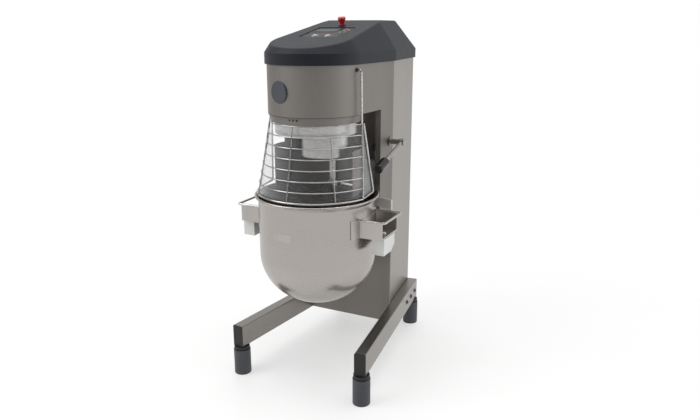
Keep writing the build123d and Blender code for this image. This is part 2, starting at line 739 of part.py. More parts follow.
def hood_shape(inset):
    """The hood as a solid block, at the given distance inside its outer faces."""
    with BuildPart(mode=Mode.PRIVATE) as shape:
        with BuildSketch(Plane.XY.offset(BODY_TOP + inset)):
            add(hood_face(HOOD_LIP - inset))
        extrude(amount=SKIRT_HEIGHT - inset)
        with BuildSketch(Plane.XY.offset(BODY_TOP + SKIRT_HEIGHT)):
            add(hood_face(HOOD_LIP - inset))
        extrude(amount=HOOD_TOP - inset - BODY_TOP - SKIRT_HEIGHT, taper=HOOD_TAPER)
        split(bisect_by=slope_plane(0).offset(-inset), keep=Keep.BOTTOM)
    return shape.part


with BuildPart() as hood:
    add(hood_shape(0))
    upper = hood.edges().filter_by_position(Axis.Z, BODY_TOP + SKIRT_HEIGHT + 1, HOOD_TOP + 1)
    fillet(upper, HOOD_ROUNDING)
    add(hood_shape(HOOD_WALL), mode=Mode.SUBTRACT)
    with BuildSketch(Plane.XY.offset(BODY_TOP)):
        add(hood_face(-15))
    extrude(amount=HOOD_WALL, mode=Mode.SUBTRACT)
    with BuildSketch(slope_plane(PANEL_Y)):
        RectangleRounded(PANEL_WIDTH, PANEL_LENGTH, 10)
    extrude(amount=-2 * HOOD_WALL, mode=Mode.SUBTRACT)
    with BuildSketch(slope_plane(STOP_Y)):
        Circle(STOP_COLLAR_BORE + 4)
    extrude(amount=-2 * HOOD_WALL, mode=Mode.SUBTRACT)
finish(hood, "hood")

with BuildPart() as panel_fascia:
    with BuildSketch(slope_plane(PANEL_Y).offset(-HOOD_WALL)):
        RectangleRounded(PANEL_WIDTH + 16, PANEL_LENGTH + 16, 14)
    extrude(amount=-FASCIA)
    for _, key_x, key_y in KEYS:
        with BuildSketch(slope_plane(key_y, key_x).offset(-HOOD_WALL)):
            Circle(KEY_RADIUS + RUN)
        extrude(amount=-FASCIA, mode=Mode.SUBTRACT)
finish(panel_fascia, "panel_fascia")

with BuildPart() as display_window:
    with BuildSketch(slope_plane(155, -26).offset(-HOOD_WALL)):
        RectangleRounded(100, 58, 5)
    extrude(amount=1.5)
finish(display_window, "display_window")

for key_name, key_x, key_y in KEYS:
    with BuildPart() as key:
        with BuildSketch(slope_plane(key_y, key_x).offset(-HOOD_WALL - FASCIA)):
            Circle(KEY_RADIUS)
        extrude(amount=FASCIA + KEY_PROUD)
        fillet(key.edges().filter_by(GeomType.CIRCLE).sort_by(Axis.Z)[-1], 0.8)
        with BuildSketch(slope_plane(key_y, key_x).offset(-HOOD_WALL - FASCIA)):
            Circle(KEY_RADIUS + 2)
        extrude(amount=-2)
    finish(key, key_name)

with BuildPart() as stop_collar:
    with BuildSketch(slope_plane(STOP_Y)):
        Circle(STOP_COLLAR_BORE + 5.5)
    extrude(amount=4)
    fillet(stop_collar.edges().filter_by(GeomType.CIRCLE).sort_by(Axis.Z)[-1], 1.5)
    with BuildSketch(slope_plane(STOP_Y)):
        Circle(STOP_COLLAR_BORE + 4)
    extrude(amount=-18)
    with BuildSketch(slope_plane(STOP_Y).offset(4)):
        Circle(STOP_COLLAR_BORE)
    extrude(amount=-22, mode=Mode.SUBTRACT)
finish(stop_collar, "stop_collar")

with BuildPart() as stop_button:
    with BuildSketch(slope_plane(STOP_Y).offset(-12)):
        Circle(STOP_COLLAR_BORE - RUN)
    extrude(amount=22)
    with BuildSketch(slope_plane(STOP_Y).offset(10)):
        Circle(STOP_COLLAR_BORE + 1)
    extrude(amount=17, taper=-20)
    with BuildSketch(slope_plane(STOP_Y).offset(27)):
        Circle(17.2)
    extrude(amount=9)
    fillet(stop_button.edges().filter_by(GeomType.CIRCLE).sort_by(Axis.Z)[-1], 5)
finish(stop_button, "stop_button")

# ---------------------------------------------------------------- bowl lift

with BuildPart() as lift_carriage:
    with BuildSketch(Plane.XY.offset(FORK_BOTTOM)):
        with Locations((0, CARRIAGE_FRONT + 5)):
            Rectangle(2 * (PINION_LEFT + PINION_WIDTH + 1), 10)
    extrude(amount=940 - FORK_BOTTOM)
    with BuildSketch(Plane.XZ.offset(-CARRIAGE_FRONT)):
        with Locations((0, 730), (0, 860)):
            RectangleRounded(200, 80, 20)
    extrude(amount=-10, mode=Mode.SUBTRACT)
    for low in (770.0, 890.0):
        with BuildSketch(Plane.XY.offset(low)):
            for side in SIDES:
                with Locations((side * ROD_X, CARRIAGE_FRONT + 28)):
                    Rectangle(44, 36)
                with Locations((side * ROD_X, ROD_Y)):
                    Circle(GUIDE_RADIUS + RUN, mode=Mode.SUBTRACT)
        extrude(amount=50)
finish(lift_carriage, "lift_carriage")

with BuildPart() as lift_fork:
    for side in SIDES:
        with BuildSketch(Plane.XY.offset(FORK_BOTTOM)):
            with BuildLine():
                Polyline((side * 172, CARRIAGE_FRONT), (side * 172, 196), (side * 300, 84), (side * 300, 20))
            trace(line_width=10)
        extrude(amount=LUG_BOTTOM - FORK_BOTTOM)
        with BuildSketch(Plane.XY.offset(757)):
            with BuildLine():
                Polyline((side * 172, CARRIAGE_FRONT), (side * 172, 192), (side * 285, 150))
            trace(line_width=8)
        extrude(amount=43)
        with BuildSketch(Plane.YZ.offset(side * 288)):
            with BuildLine():
                Polyline(
                    (-65, FORK_BOTTOM), (10, FORK_BOTTOM), (46, FORK_BOTTOM + 24), (46, LUG_BOTTOM), (-65, LUG_BOTTOM),
                    close=True,
                )
            make_face()
        extrude(amount=side * 54)
        with BuildSketch(Plane.XY.offset(LUG_BOTTOM)):
            with Locations((side * PIN_X, PIN_Y)):
                Circle(PIN_RADIUS)
        extrude(amount=14)
    chamfer(lift_fork.faces().sort_by(Axis.Z).filter_by(Plane.XY).group_by(SortBy.AREA)[0].edges(), 2)
finish(lift_fork, "lift_fork")

RACK_PITCH_Y = LEVER_Y - GEAR_MODULE * LIFT_TEETH / 2
with BuildPart() as lift_rack:
    with BuildSketch(Plane.YZ.offset(PINION_LEFT)):
        with Locations((RACK_PITCH_Y - 1.25 * GEAR_MODULE - 7.5, (RACK_BOTTOM + RACK_TOP) / 2)):
            Rectangle(15, RACK_TOP - RACK_BOTTOM)
        with Locations(((RACK_PITCH_Y + CARRIAGE_FRONT) / 2 - 2.5, RACK_BOTTOM + 32)):
            Rectangle(CARRIAGE_FRONT - RACK_PITCH_Y + 5, 64)
        tooth_pitch = pi * GEAR_MODULE
        root_half = tooth_pitch / 4 - BACKLASH + 1.25 * GEAR_MODULE * tan(PRESSURE)
        tip_half = tooth_pitch / 4 - BACKLASH - GEAR_MODULE * tan(PRESSURE)
        for step in range(-6, 17):
            tooth_z = LEVER_Z + (step + 0.5) * tooth_pitch
            with BuildLine():
                Polyline(
                    (RACK_PITCH_Y - 1.25 * GEAR_MODULE, tooth_z - root_half),
                    (RACK_PITCH_Y + GEAR_MODULE, tooth_z - tip_half),
                    (RACK_PITCH_Y + GEAR_MODULE, tooth_z + tip_half),
                    (RACK_PITCH_Y - 1.25 * GEAR_MODULE, tooth_z + root_half),
                    close=True,
                )
            make_face()
    extrude(amount=PINION_WIDTH)
finish(lift_rack, "lift_rack")

pinion_plane = Plane(origin=(PINION_LEFT, LEVER_Y, LEVER_Z), x_dir=(0, -1, 0), z_dir=(1, 0, 0))
with BuildPart() as lift_pinion:
    with BuildSketch(pinion_plane):
        add(pinion_face(LIFT_TEETH))
        Circle(LEVER_SHAFT_RADIUS, mode=Mode.SUBTRACT)
    extrude(amount=PINION_WIDTH)
finish(lift_pinion, "lift_pinion")

with BuildPart() as lever_shaft:
    with BuildSketch(Plane.YZ.offset(LEVER_INNER - 6)):
        with Locations((LEVER_Y, LEVER_Z)):
            Circle(LEVER_SHAFT_RADIUS)
    extrude(amount=LEVER_X + 13 - LEVER_INNER + 6)
finish(lever_shaft, "lever_shaft")

tilt = radians(LEVER_TILT)
along_lever = Vector(0, -cos(tilt), -sin(tilt))
lever_plane = Plane(origin=(LEVER_X, LEVER_Y, LEVER_Z), x_dir=along_lever, z_dir=(1, 0, 0))
with BuildPart() as lever_arm:
    with BuildSketch(Plane(origin=lever_plane.origin + along_lever * 5, z_dir=along_lever)):
        Circle(9)
    extrude(amount=185)
    with BuildSketch(lever_plane.offset(-13)):
        Circle(15.5)
    extrude(amount=26)
    fillet(lever_arm.edges().filter_by(GeomType.CIRCLE).group_by(Axis.X)[0], 1.5)
    fillet(lever_arm.edges().filter_by(GeomType.CIRCLE).group_by(Axis.X)[-1], 1.5)
    with BuildSketch(lever_plane.offset(-13)):
        Circle(LEVER_SHAFT_RADIUS)
    extrude(amount=26, mode=Mode.SUBTRACT)
finish(lever_arm, "lever_arm")

with BuildPart() as lever_grip:
    with BuildSketch(Plane(origin=lever_plane.origin + along_lever * 190, z_dir=along_lever)):
        Circle(20)
    extrude(amount=80)
    fillet(lever_grip.edges().filter_by(GeomType.CIRCLE), 6)
finish(lever_grip, "lever_grip")

# ---------------------------------------------------------------- bowl

with BuildPart() as bowl:
    with BuildSketch(Plane.XZ):
        for inset, mode in ((0.0, Mode.ADD), (BOWL_WALL, Mode.SUBTRACT)):
            radius = BOWL_RADIUS - inset
            depth = BOWL_DEPTH - inset
            with BuildLine():
                EllipticalCenterArc((0, BOWL_SPRING), radius, depth, start_angle=270, arc_size=90)
                Polyline(
                    (radius, BOWL_SPRING),
                    (radius, RIM_Z - 16),
                    (RIM_RADIUS - inset, RIM_Z - 3),
                    (RIM_RADIUS - inset, RIM_Z),
                    (0, RIM_Z),
                    (0, BOWL_SPRING - depth),
                )
            make_face(mode=mode)
    revolve(axis=Axis.Z)
    with BuildSketch(Plane.XZ):
        with Locations((RIM_RADIUS, RIM_Z)):
            Circle(RIM_WIRE)
    revolve(axis=Axis.Z)
finish(bowl, "bowl")

with BuildPart() as bowl_lugs:
    for side in SIDES:
        for low_y, high_y, low_z, high_z in (
            (-LUG_Y, -LUG_Y + 7, LUG_BOTTOM, LUG_TOP),
            (LUG_Y - 7, LUG_Y, LUG_BOTTOM, LUG_TOP),
            (-LUG_Y, LUG_Y, LUG_BOTTOM, LUG_BOTTOM + 7),
        ):
            with BuildSketch(Plane.XY.offset(low_z)):
                with Locations((side * (LUG_REACH + 200) / 2, (low_y + high_y) / 2)):
                    Rectangle(LUG_REACH - 200, high_y - low_y)
            extrude(amount=high_z - low_z)
        with BuildSketch(Plane.XY.offset(LUG_BOTTOM)):
            with Locations((side * 240, 0)):
                Rectangle(60, LUG_PAD_WIDTH)
            Circle(BOWL_RADIUS + LUG_PAD, mode=Mode.INTERSECT)
        extrude(amount=LUG_TOP - LUG_BOTTOM)
        with BuildSketch(Plane.XY.offset(LUG_BOTTOM)):
            with Locations((side * PIN_X, PIN_Y)):
                Circle(PIN_RADIUS + RUN)
        extrude(amount=7, mode=Mode.SUBTRACT)
    with BuildSketch(Plane.XY.offset(LUG_BOTTOM - 20)):
        Circle(BOWL_RADIUS)
    extrude(amount=LUG_TOP - LUG_BOTTOM + 40, mode=Mode.SUBTRACT)
finish(bowl_lugs, "bowl_lugs")

with BuildPart() as bowl_handles:
    for side in SIDES:
        with BuildLine(Plane.XY.offset(HANDLE_Z)) as loop:
            FilletPolyline(
                (side * 225, -HANDLE_Y), (side * HANDLE_X, -HANDLE_Y), (side * HANDLE_X, HANDLE_Y), (side * 225, HANDLE_Y),
                radius=HANDLE_BEND,
            )
        with BuildSketch(Plane(origin=loop.line @ 0, z_dir=loop.line % 0)):
            Circle(HANDLE_WIRE)
        sweep()
    with BuildSketch(Plane.XY.offset(HANDLE_Z - 20)):
        Circle(BOWL_RADIUS + LUG_PAD)
    extrude(amount=40, mode=Mode.SUBTRACT)
finish(bowl_handles, "bowl_handles")

# ---------------------------------------------------------------- guard


def between(top, bottom, share):
    """A value part of the way down the guard; share runs from 0 at the top to 1 at the bottom."""
    return top + (bottom - top) * share


def guard_path(share, inset=0.0):
    """Right-hand tangent point and rod point of the guard's outline, and the direction out of its flat side."""
    radius = between(GUARD_TOP_RADIUS, GUARD_BOTTOM_RADIUS, share)
    rod_x = between(ROD_TOP[0], ROD_BOTTOM[0], share)
    rod_y = between(ROD_TOP[1], ROD_BOTTOM[1], share)
    angle = atan2(rod_y, rod_x) - acos(radius / hypot(rod_x, rod_y))
    outward = Vector(cos(angle), sin(angle), 0)
    tangent = outward * (radius - inset)
    return tangent, Vector(rod_x, rod_y, 0) - outward * inset, outward


def swept_rod(path, radius):
    """A round rod along the edges drawn in a BuildLine."""
    with BuildPart(mode=Mode.PRIVATE) as rod:
        with BuildSketch(Plane(origin=path.line @ 0, z_dir=path.line % 0)):
            Circle(radius)
        sweep(path=path.line)
    return rod.part


with BuildPart() as guard_cage:
    for level in range(GUARD_LEVELS):
        share = level / (GUARD_LEVELS - 1)
        tangent, rod_point, _ = guard_path(share)
        with BuildLine(Plane.XY.offset(between(GUARD_TOP, GUARD_BOTTOM, share)), mode=Mode.PRIVATE) as ring:
            Line((rod_point.X, rod_point.Y), (tangent.X, tangent.Y))
            ThreePointArc((tangent.X, tangent.Y), (0, -tangent.length), (-tangent.X, tangent.Y))
            Line((-tangent.X, tangent.Y), (-rod_point.X, rod_point.Y))
        add(swept_rod(ring, ROD if level == GUARD_LEVELS - 1 else WIRE))
    for angle, first in ((-45, 1), (0, 0), (45, 1)):
        ends = []
        for share in (first / (GUARD_LEVELS - 1), 1.0):
            radius = between(GUARD_TOP_RADIUS, GUARD_BOTTOM_RADIUS, share) + WIRE
            height = between(GUARD_TOP, GUARD_BOTTOM, share)
            ends.append((radius * sin(radians(angle)), -radius * cos(radians(angle)), height))
        with BuildLine(mode=Mode.PRIVATE) as upright:
            Line(*ends)
        add(swept_rod(upright, WIRE))
    for side in SIDES:
        with BuildLine(mode=Mode.PRIVATE) as frame:
            FilletPolyline(
                (side * 188, GUARD_PIVOT_Y, GUARD_PIVOT_Z),
                (side * ROD_TOP[0], GUARD_PIVOT_Y, GUARD_PIVOT_Z),
                (side * ROD_TOP[0], ROD_TOP[1], GUARD_TOP),
                (side * ROD_BOTTOM[0], ROD_BOTTOM[1], GUARD_BOTTOM),
                (side * GUARD_HEEL[0], GUARD_HEEL[1], GUARD_BOTTOM + 10),
                (side * GUARD_SHOULDER[0], GUARD_SHOULDER[1], GUARD_TOP + 2),
                radius=10,
            )
        add(swept_rod(frame, ROD))
finish(guard_cage, "guard_cage")


def shield_section(share):
    """Outline of the clear shield at one height, just inside the wires."""
    tangent, rod_point, outward = guard_path(share, WIRE + 0.6)
    heel = Vector(
        between(GUARD_SHOULDER[0], GUARD_HEEL[0], share) - ROD - 1, between(GUARD_SHOULDER[1], GUARD_HEEL[1], share), 0
    )
    corner = rod_point - outward * (ROD - WIRE)
    back = (heel - corner).normalized()
    back_outward = Vector(back.Y, -back.X, 0)
    mitre = (outward + back_outward) / (1 + outward.dot(back_outward))
    inner = [heel - back_outward * SHIELD, corner - mitre * SHIELD, tangent - outward * SHIELD]
    outer = [heel, corner, tangent]
    with BuildSketch(Plane.XY, mode=Mode.PRIVATE) as section:
        with BuildLine():
            for points in (outer, inner):
                for side in SIDES:
                    Polyline(*[(side * point.X, point.Y) for point in points])
                end = points[-1]
                ThreePointArc((end.X, end.Y), (0, -end.length), (-end.X, end.Y))
            for side in SIDES:
                Line((side * outer[0].X, outer[0].Y), (side * inner[0].X, inner[0].Y))
        make_face()
    return section.sketch_local


with BuildPart() as guard_shield:
    for share in (0.01, 0.98):
        with BuildSketch(Plane.XY.offset(between(GUARD_TOP, GUARD_BOTTOM, share))):
            add(shield_section(share))
    loft(ruled=True)
finish(guard_shield, "guard_shield")
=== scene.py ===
"""Looks of a floor-standing planetary mixer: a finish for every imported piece, and the small details."""

import logging
from dataclasses import dataclass
from enum import Enum
from math import atan2, cos, pi, radians, sin, tan
from typing import Any, ClassVar

import bmesh
import bpy
from mathutils import Matrix, Vector


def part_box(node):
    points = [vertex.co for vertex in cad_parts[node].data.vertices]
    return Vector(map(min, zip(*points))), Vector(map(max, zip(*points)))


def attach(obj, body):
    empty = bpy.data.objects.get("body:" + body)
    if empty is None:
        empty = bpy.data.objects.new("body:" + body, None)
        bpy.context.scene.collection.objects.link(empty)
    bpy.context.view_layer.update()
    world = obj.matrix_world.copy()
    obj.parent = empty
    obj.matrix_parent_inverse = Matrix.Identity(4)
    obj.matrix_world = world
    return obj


logging.basicConfig(level=logging.INFO, format="%(message)s")
LOG = logging.getLogger("mixer")

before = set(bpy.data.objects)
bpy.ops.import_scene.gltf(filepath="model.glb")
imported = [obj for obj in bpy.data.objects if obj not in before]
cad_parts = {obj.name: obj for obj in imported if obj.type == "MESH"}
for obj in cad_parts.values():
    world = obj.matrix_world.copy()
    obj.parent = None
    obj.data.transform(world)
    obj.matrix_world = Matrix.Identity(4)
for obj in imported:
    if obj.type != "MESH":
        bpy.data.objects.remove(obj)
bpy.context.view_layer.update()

MM = 0.001


# ------------------------------------------------------------------ colours and nodes


def linear(hex_colour: str) -> tuple[float, float, float, float]:
    """Turns an sRGB hex colour into the linear values that shaders take.

    Args:
        hex_colour: Six hex digits, with or without a leading hash.

    Returns:
        Linear red, green, blue and an alpha of 1.
    """
    digits = hex_colour.lstrip("#")
    values = [int(digits[i : i + 2], 16) / 255 for i in (0, 2, 4)]
    red, green, blue = (v / 12.92 if v <= 0.04045 else ((v + 0.055) / 1.055) ** 2.4 for v in values)
    return red, green, blue, 1.0


def add_node(
    tree: bpy.types.NodeTree, kind: str, links: dict[Any, Any] | None = None, **settings: Any
) -> Any:
    """Adds a node, sets its properties and constant sockets, and links its inputs.

    Args:
        tree: The node tree that gets the node.
        kind: Blender's type name for the node.
        links: Input name or number to an output socket to link, or to a constant.
        settings: Properties set on the node itself.

    Returns:
        The new node.
    """
    node = tree.nodes.new(kind)
    for key, value in settings.items():
        setattr(node, key, value)
    for key, value in (links or {}).items():
        if isinstance(value, bpy.types.NodeSocket):
            tree.links.new(value, node.inputs[key])
        else:
            node.inputs[key].default_value = value
    return node


def set_ramp(node: Any, stops: list[tuple[float, str]]) -> None:
    """Sets the stops of a Color Ramp node.

    Args:
        node: The Color Ramp.
        stops: Position and sRGB hex colour of each stop, in order.
    """
    ramp = node.color_ramp
    while len(ramp.elements) < len(stops):
        ramp.elements.new(0.5)
    for element, (position, colour) in zip(ramp.elements, stops):
        element.position = position
        element.color = linear(colour)


class Grain(Enum):
    """Which way the lines of a brushed or ground surface run."""

    UP = (1.0, 1.0, 0.012)
    BACK = (1.0, 0.012, 1.0)
    ROUND = (0.02, 0.02, 1.0)


# ------------------------------------------------------------------ finishes


@dataclass(frozen=True)
class Finish:
    """What a surface is made of and how it was made. Subclasses fill in the shader."""

    name: str
    colour: str

    def shade(self, tree: bpy.types.NodeTree, shader: Any) -> None:
        """Sets up the shader's inputs.

        Args:
            tree: The material's node tree.
            shader: Its Principled BSDF.
        """
        raise NotImplementedError

    def material(self) -> bpy.types.Material:
        """Builds the material, or returns the one already built under this name.

        Returns:
            The material.
        """
        made = bpy.data.materials.get(self.name)
        if made:
            return made
        made = bpy.data.materials.new(self.name)
        made.use_nodes = True
        tree = made.node_tree
        shader = tree.nodes["Principled BSDF"]
        self.shade(tree, shader)
        made.diffuse_color = linear(self.colour)
        return made


@dataclass(frozen=True)
class BrushedStainless(Finish):
    """Stainless after an abrasive belt: fine parallel lines that stretch highlights across them."""

    shadow: str = "#6f6b67"
    grain: Grain = Grain.UP
    roughness: float = 0.34
    line_mm: float = 1.2
    cloud_mm: float = 260.0
    anisotropy: float = 0.0
    relief: float = 0.08

    def shade(self, tree: bpy.types.NodeTree, shader: Any) -> None:
        """Sets up the shader's inputs.

        Args:
            tree: The material's node tree.
            shader: Its Principled BSDF.
        """
        place = add_node(tree, "ShaderNodeTexCoord")
        # Lines this fine wouldn't show, so they are drawn a little coarser than the belt leaves them.
        stretch = add_node(
            tree,
            "ShaderNodeMapping",
            {"Vector": place.outputs["Object"], "Scale": self.grain.value},
        )
        lines = add_node(
            tree,
            "ShaderNodeTexNoise",
            {"Vector": stretch.outputs[0], "Scale": 1 / (self.line_mm * MM), "Detail": 3.0},
        )
        clouds = add_node(
            tree,
            "ShaderNodeTexNoise",
            {"Vector": stretch.outputs[0], "Scale": 1 / (self.cloud_mm * MM), "Detail": 2.0},
        )
        both = add_node(
            tree,
            "ShaderNodeMath",
            {0: lines.outputs["Fac"], 1: clouds.outputs["Fac"]},
            operation="ADD",
            use_clamp=False,
        )
        tone = add_node(tree, "ShaderNodeValToRGB", {"Fac": both.outputs[0]})
        set_ramp(tone, [(0.35, self.shadow), (1.0, self.colour)])
        polish = add_node(
            tree,
            "ShaderNodeMapRange",
            {
                "Value": lines.outputs["Fac"],
                "From Min": 0.3,
                "From Max": 0.7,
                "To Min": self.roughness - 0.05,
                "To Max": self.roughness + 0.07,
            },
        )
        relief = add_node(
            tree,
            "ShaderNodeBump",
            {"Height": lines.outputs["Fac"], "Strength": self.relief, "Distance": 0.0002},
        )
        tree.links.new(tone.outputs["Color"], shader.inputs["Base Color"])
        tree.links.new(polish.outputs["Result"], shader.inputs["Roughness"])
        tree.links.new(relief.outputs["Normal"], shader.inputs["Normal"])
        shader.inputs["Metallic"].default_value = 1.0
        if self.anisotropy:
            around = add_node(tree, "ShaderNodeTangent", direction_type="RADIAL", axis="Z")
            shader.inputs["Anisotropic"].default_value = self.anisotropy
            tree.links.new(around.outputs[0], shader.inputs["Tangent"])


@dataclass(frozen=True)
class MachinedMetal(Finish):
    """Turned, ground or drawn metal: close rings or streaks with a few darker ones."""

    roughness: float = 0.22
    ring_mm: float = 1.5

    def shade(self, tree: bpy.types.NodeTree, shader: Any) -> None:
        """Sets up the shader's inputs.

        Args:
            tree: The material's node tree.
            shader: Its Principled BSDF.
        """
        place = add_node(tree, "ShaderNodeTexCoord")
        stretch = add_node(
            tree, "ShaderNodeMapping", {"Vector": place.outputs["Object"], "Scale": (0.1, 0.1, 1.0)}
        )
        rings = add_node(
            tree,
            "ShaderNodeTexNoise",
            {"Vector": stretch.outputs[0], "Scale": 1 / (self.ring_mm * MM), "Detail": 4.0},
        )
        tone = add_node(
            tree,
            "ShaderNodeMix",
            {"Factor": rings.outputs["Fac"], "A": linear("#77777a"), "B": linear(self.colour)},
            data_type="RGBA",
        )
        tree.links.new(tone.outputs["Result"], shader.inputs["Base Color"])
        relief = add_node(
            tree,
            "ShaderNodeBump",
            {"Height": rings.outputs["Fac"], "Strength": 0.06, "Distance": 0.0002},
        )
        tree.links.new(relief.outputs["Normal"], shader.inputs["Normal"])
        shader.inputs["Metallic"].default_value = 1.0
        shader.inputs["Roughness"].default_value = self.roughness


@dataclass(frozen=True)
class MouldedPlastic(Finish):
    """Moulded plastic or rubber with a fine pebble grain from its mould, and faint tone changes."""

    low: str = "#101216"
    roughness: float = 0.5
    pebble_mm: float = 1.6
    depth: float = 0.12
    specular: float = 0.5

    def shade(self, tree: bpy.types.NodeTree, shader: Any) -> None:
        """Sets up the shader's inputs.

        Args:
            tree: The material's node tree.
            shader: Its Principled BSDF.
        """
        place = add_node(tree, "ShaderNodeTexCoord")
        pebble = add_node(
            tree,
            "ShaderNodeTexVoronoi",
            {"Vector": place.outputs["Object"], "Scale": 1 / (self.pebble_mm * MM)},
            feature="SMOOTH_F1",
        )
        tone = add_node(
            tree,
            "ShaderNodeTexNoise",
            {"Vector": place.outputs["Object"], "Scale": 14.0, "Detail": 5.0, "Roughness": 0.6},
        )
        mixed = add_node(tree, "ShaderNodeValToRGB", {"Fac": tone.outputs["Fac"]})
        set_ramp(mixed, [(0.25, self.low), (0.6, self.colour)])
        rub = add_node(
            tree,
            "ShaderNodeMapRange",
            {"Value": tone.outputs["Fac"], "To Min": self.roughness - 0.06, "To Max": self.roughness + 0.06},
        )
        relief = add_node(
            tree,
            "ShaderNodeBump",
            {"Height": pebble.outputs["Distance"], "Strength": self.depth, "Distance": 0.0003},
        )
        tree.links.new(mixed.outputs["Color"], shader.inputs["Base Color"])
        tree.links.new(rub.outputs["Result"], shader.inputs["Roughness"])
        tree.links.new(relief.outputs["Normal"], shader.inputs["Normal"])
        shader.inputs["Specular IOR Level"].default_value = self.specular
        shader.inputs["IOR"].default_value = 1.5


@dataclass(frozen=True)
class Enamel(Finish):
    """Sprayed enamel on metal: an orange-peel skin under a soft gloss."""

    low: str = "#b4b4b2"
    roughness: float = 0.3
    peel_mm: float = 3.5

    def shade(self, tree: bpy.types.NodeTree, shader: Any) -> None:
        """Sets up the shader's inputs.

        Args:
            tree: The material's node tree.
            shader: Its Principled BSDF.
        """
        place = add_node(tree, "ShaderNodeTexCoord")
        peel = add_node(
            tree,
            "ShaderNodeTexNoise",
            {"Vector": place.outputs["Object"], "Scale": 1 / (self.peel_mm * MM), "Detail": 2.0},
        )
        tone = add_node(
            tree,
            "ShaderNodeTexNoise",
            {"Vector": place.outputs["Object"], "Scale": 9.0, "Detail": 4.0},
        )
        mixed = add_node(tree, "ShaderNodeValToRGB", {"Fac": tone.outputs["Fac"]})
        set_ramp(mixed, [(0.3, self.low), (0.65, self.colour)])
        relief = add_node(
            tree,
            "ShaderNodeBump",
            {"Height": peel.outputs["Fac"], "Strength": 0.1, "Distance": 0.0003},
        )
        tree.links.new(mixed.outputs["Color"], shader.inputs["Base Color"])
        tree.links.new(relief.outputs["Normal"], shader.inputs["Normal"])
        shader.inputs["Roughness"].default_value = self.roughness
        shader.inputs["Coat Weight"].default_value = 0.25
        shader.inputs["Coat Roughness"].default_value = 0.12


@dataclass(frozen=True)
class ClearPolycarbonate(Finish):
    """Formed clear sheet: nearly invisible face on, with faint rubbing marks, and edges brightened by painted
    reflection.
    """

    alpha: float = 0.03

    def shade(self, tree: bpy.types.NodeTree, shader: Any) -> None:
        """Sets up the shader's inputs.

        Args:
            tree: The material's node tree.
            shader: Its Principled BSDF.
        """
        place = add_node(tree, "ShaderNodeTexCoord")
        haze = add_node(
            tree,
            "ShaderNodeTexNoise",
            {"Vector": place.outputs["Object"], "Scale": 22.0, "Detail": 6.0},
        )
        # Painted reflection: the white sheet grows more opaque toward grazing angles, so its edges show
        # bright.
        edge = add_node(tree, "ShaderNodeLayerWeight", {"Blend": 0.28})
        veil = add_node(
            tree,
            "ShaderNodeMapRange",
            {"Value": edge.outputs["Facing"], "To Min": self.alpha, "To Max": 0.4},
        )
        rub = add_node(
            tree, "ShaderNodeMapRange", {"Value": haze.outputs["Fac"], "To Min": 0.04, "To Max": 0.16}
        )
        shader.inputs["Base Color"].default_value = linear(self.colour)
        tree.links.new(rub.outputs["Result"], shader.inputs["Roughness"])
        tree.links.new(veil.outputs["Result"], shader.inputs["Alpha"])
        shader.inputs["IOR"].default_value = 1.58
        shader.inputs["Specular IOR Level"].default_value = 0.25


# Belt-brushed stainless sheet: matt grey with soft upright lines on the covers.
COVER_STEEL = BrushedStainless("stainless_sheet_belt_brushed", "#98948f", shadow="#7a7773", roughness=0.4)
# The same stainless sheet, darker and matt all over, on the head, recess and column front: its darker tone is
# painted shade.
DRUM_STEEL = BrushedStainless("stainless_head_fine_blasted", "#85817d", shadow="#6b6864", roughness=0.52)
# Tube brushed along its length: long streaks from front to back.
LEG_STEEL = BrushedStainless(
    "stainless_tube_brushed", "#97938f", shadow="#736f6b", grain=Grain.BACK, roughness=0.34
)
# Spun and satin-polished bowl: lines run round it, so highlights stand as upright bands.
BOWL_STEEL = BrushedStainless(
    "stainless_bowl_spun",
    "#aba6a1",
    shadow="#9d9893",
    grain=Grain.ROUND,
    roughness=0.25,
    anisotropy=0.5,
    relief=0.012,
)
# Welded stainless plate, pickled after welding: flatter and duller than the bowl.
PLATE_STEEL = BrushedStainless("stainless_plate_pickled", "#b5b0ab", shadow="#918c87", roughness=0.33)
# Electropolished wire: bright and smooth, with sharp small highlights.
WIRE_STEEL = MachinedMetal("stainless_wire_electropolished", "#e2dfdc", roughness=0.16, ring_mm=6.0)
# Ground shafts, gears and rods: close turning marks.
GROUND_STEEL = MachinedMetal("carbon_steel_ground", "#c2c0bd", roughness=0.2, ring_mm=0.9)
# Zinc-plated fasteners and arm: slightly cloudy grey metal.
ZINC_STEEL = MachinedMetal("steel_zinc_plated", "#b9b8b4", roughness=0.32, ring_mm=2.5)
# Machined aluminium casting of the planet head: pale satin, clean turning lines.
PLANET_ALLOY = MachinedMetal("aluminium_casting_machined", "#dcdad7", roughness=0.3, ring_mm=1.4)
# Grey iron as cast under thin primer: coarse grain with no shine.
CAST_IRON = MouldedPlastic(
    "grey_iron_sand_cast", "#4a4c50", low="#2e3034", roughness=0.66, pebble_mm=3.2, depth=0.4
)
# Oil-bronze bush, darkened in use: dull brown-grey metal with turning rings.
BRONZE = MachinedMetal("oil_bronze_darkened", "#80766a", roughness=0.3, ring_mm=0.8)
# Sprayed motor enamel: dull blue-grey.
MOTOR_ENAMEL = Enamel("motor_enamel_sprayed", "#57636f", low="#47525d", roughness=0.42)
# Light grey stove enamel on the lift: nearly white with a soft gloss.
LIFT_ENAMEL = Enamel("lift_enamel_stoved", "#d9d9d6", low="#c6c6c3", roughness=0.3)
# Moulded ABS hood: dark blue-grey with a fine spark-eroded grain.
HOOD_ABS = MouldedPlastic(
    "abs_hood_textured",
    "#151821",
    low="#11141c",
    roughness=0.5,
    pebble_mm=1.8,
    depth=0.16,
    specular=0.28,
)
# Polyester key panel film: black with a low satin sheen.
PANEL_FILM = MouldedPlastic(
    "polyester_panel_film", "#101216", low="#0b0d10", roughness=0.45, pebble_mm=0.9, depth=0.05
)
# Acrylic display window: black and glossy.
DISPLAY_ACRYLIC = MouldedPlastic(
    "acrylic_display_tinted", "#12201f", low="#0c1716", roughness=0.3, pebble_mm=6.0, depth=0.01, specular=0.3
)
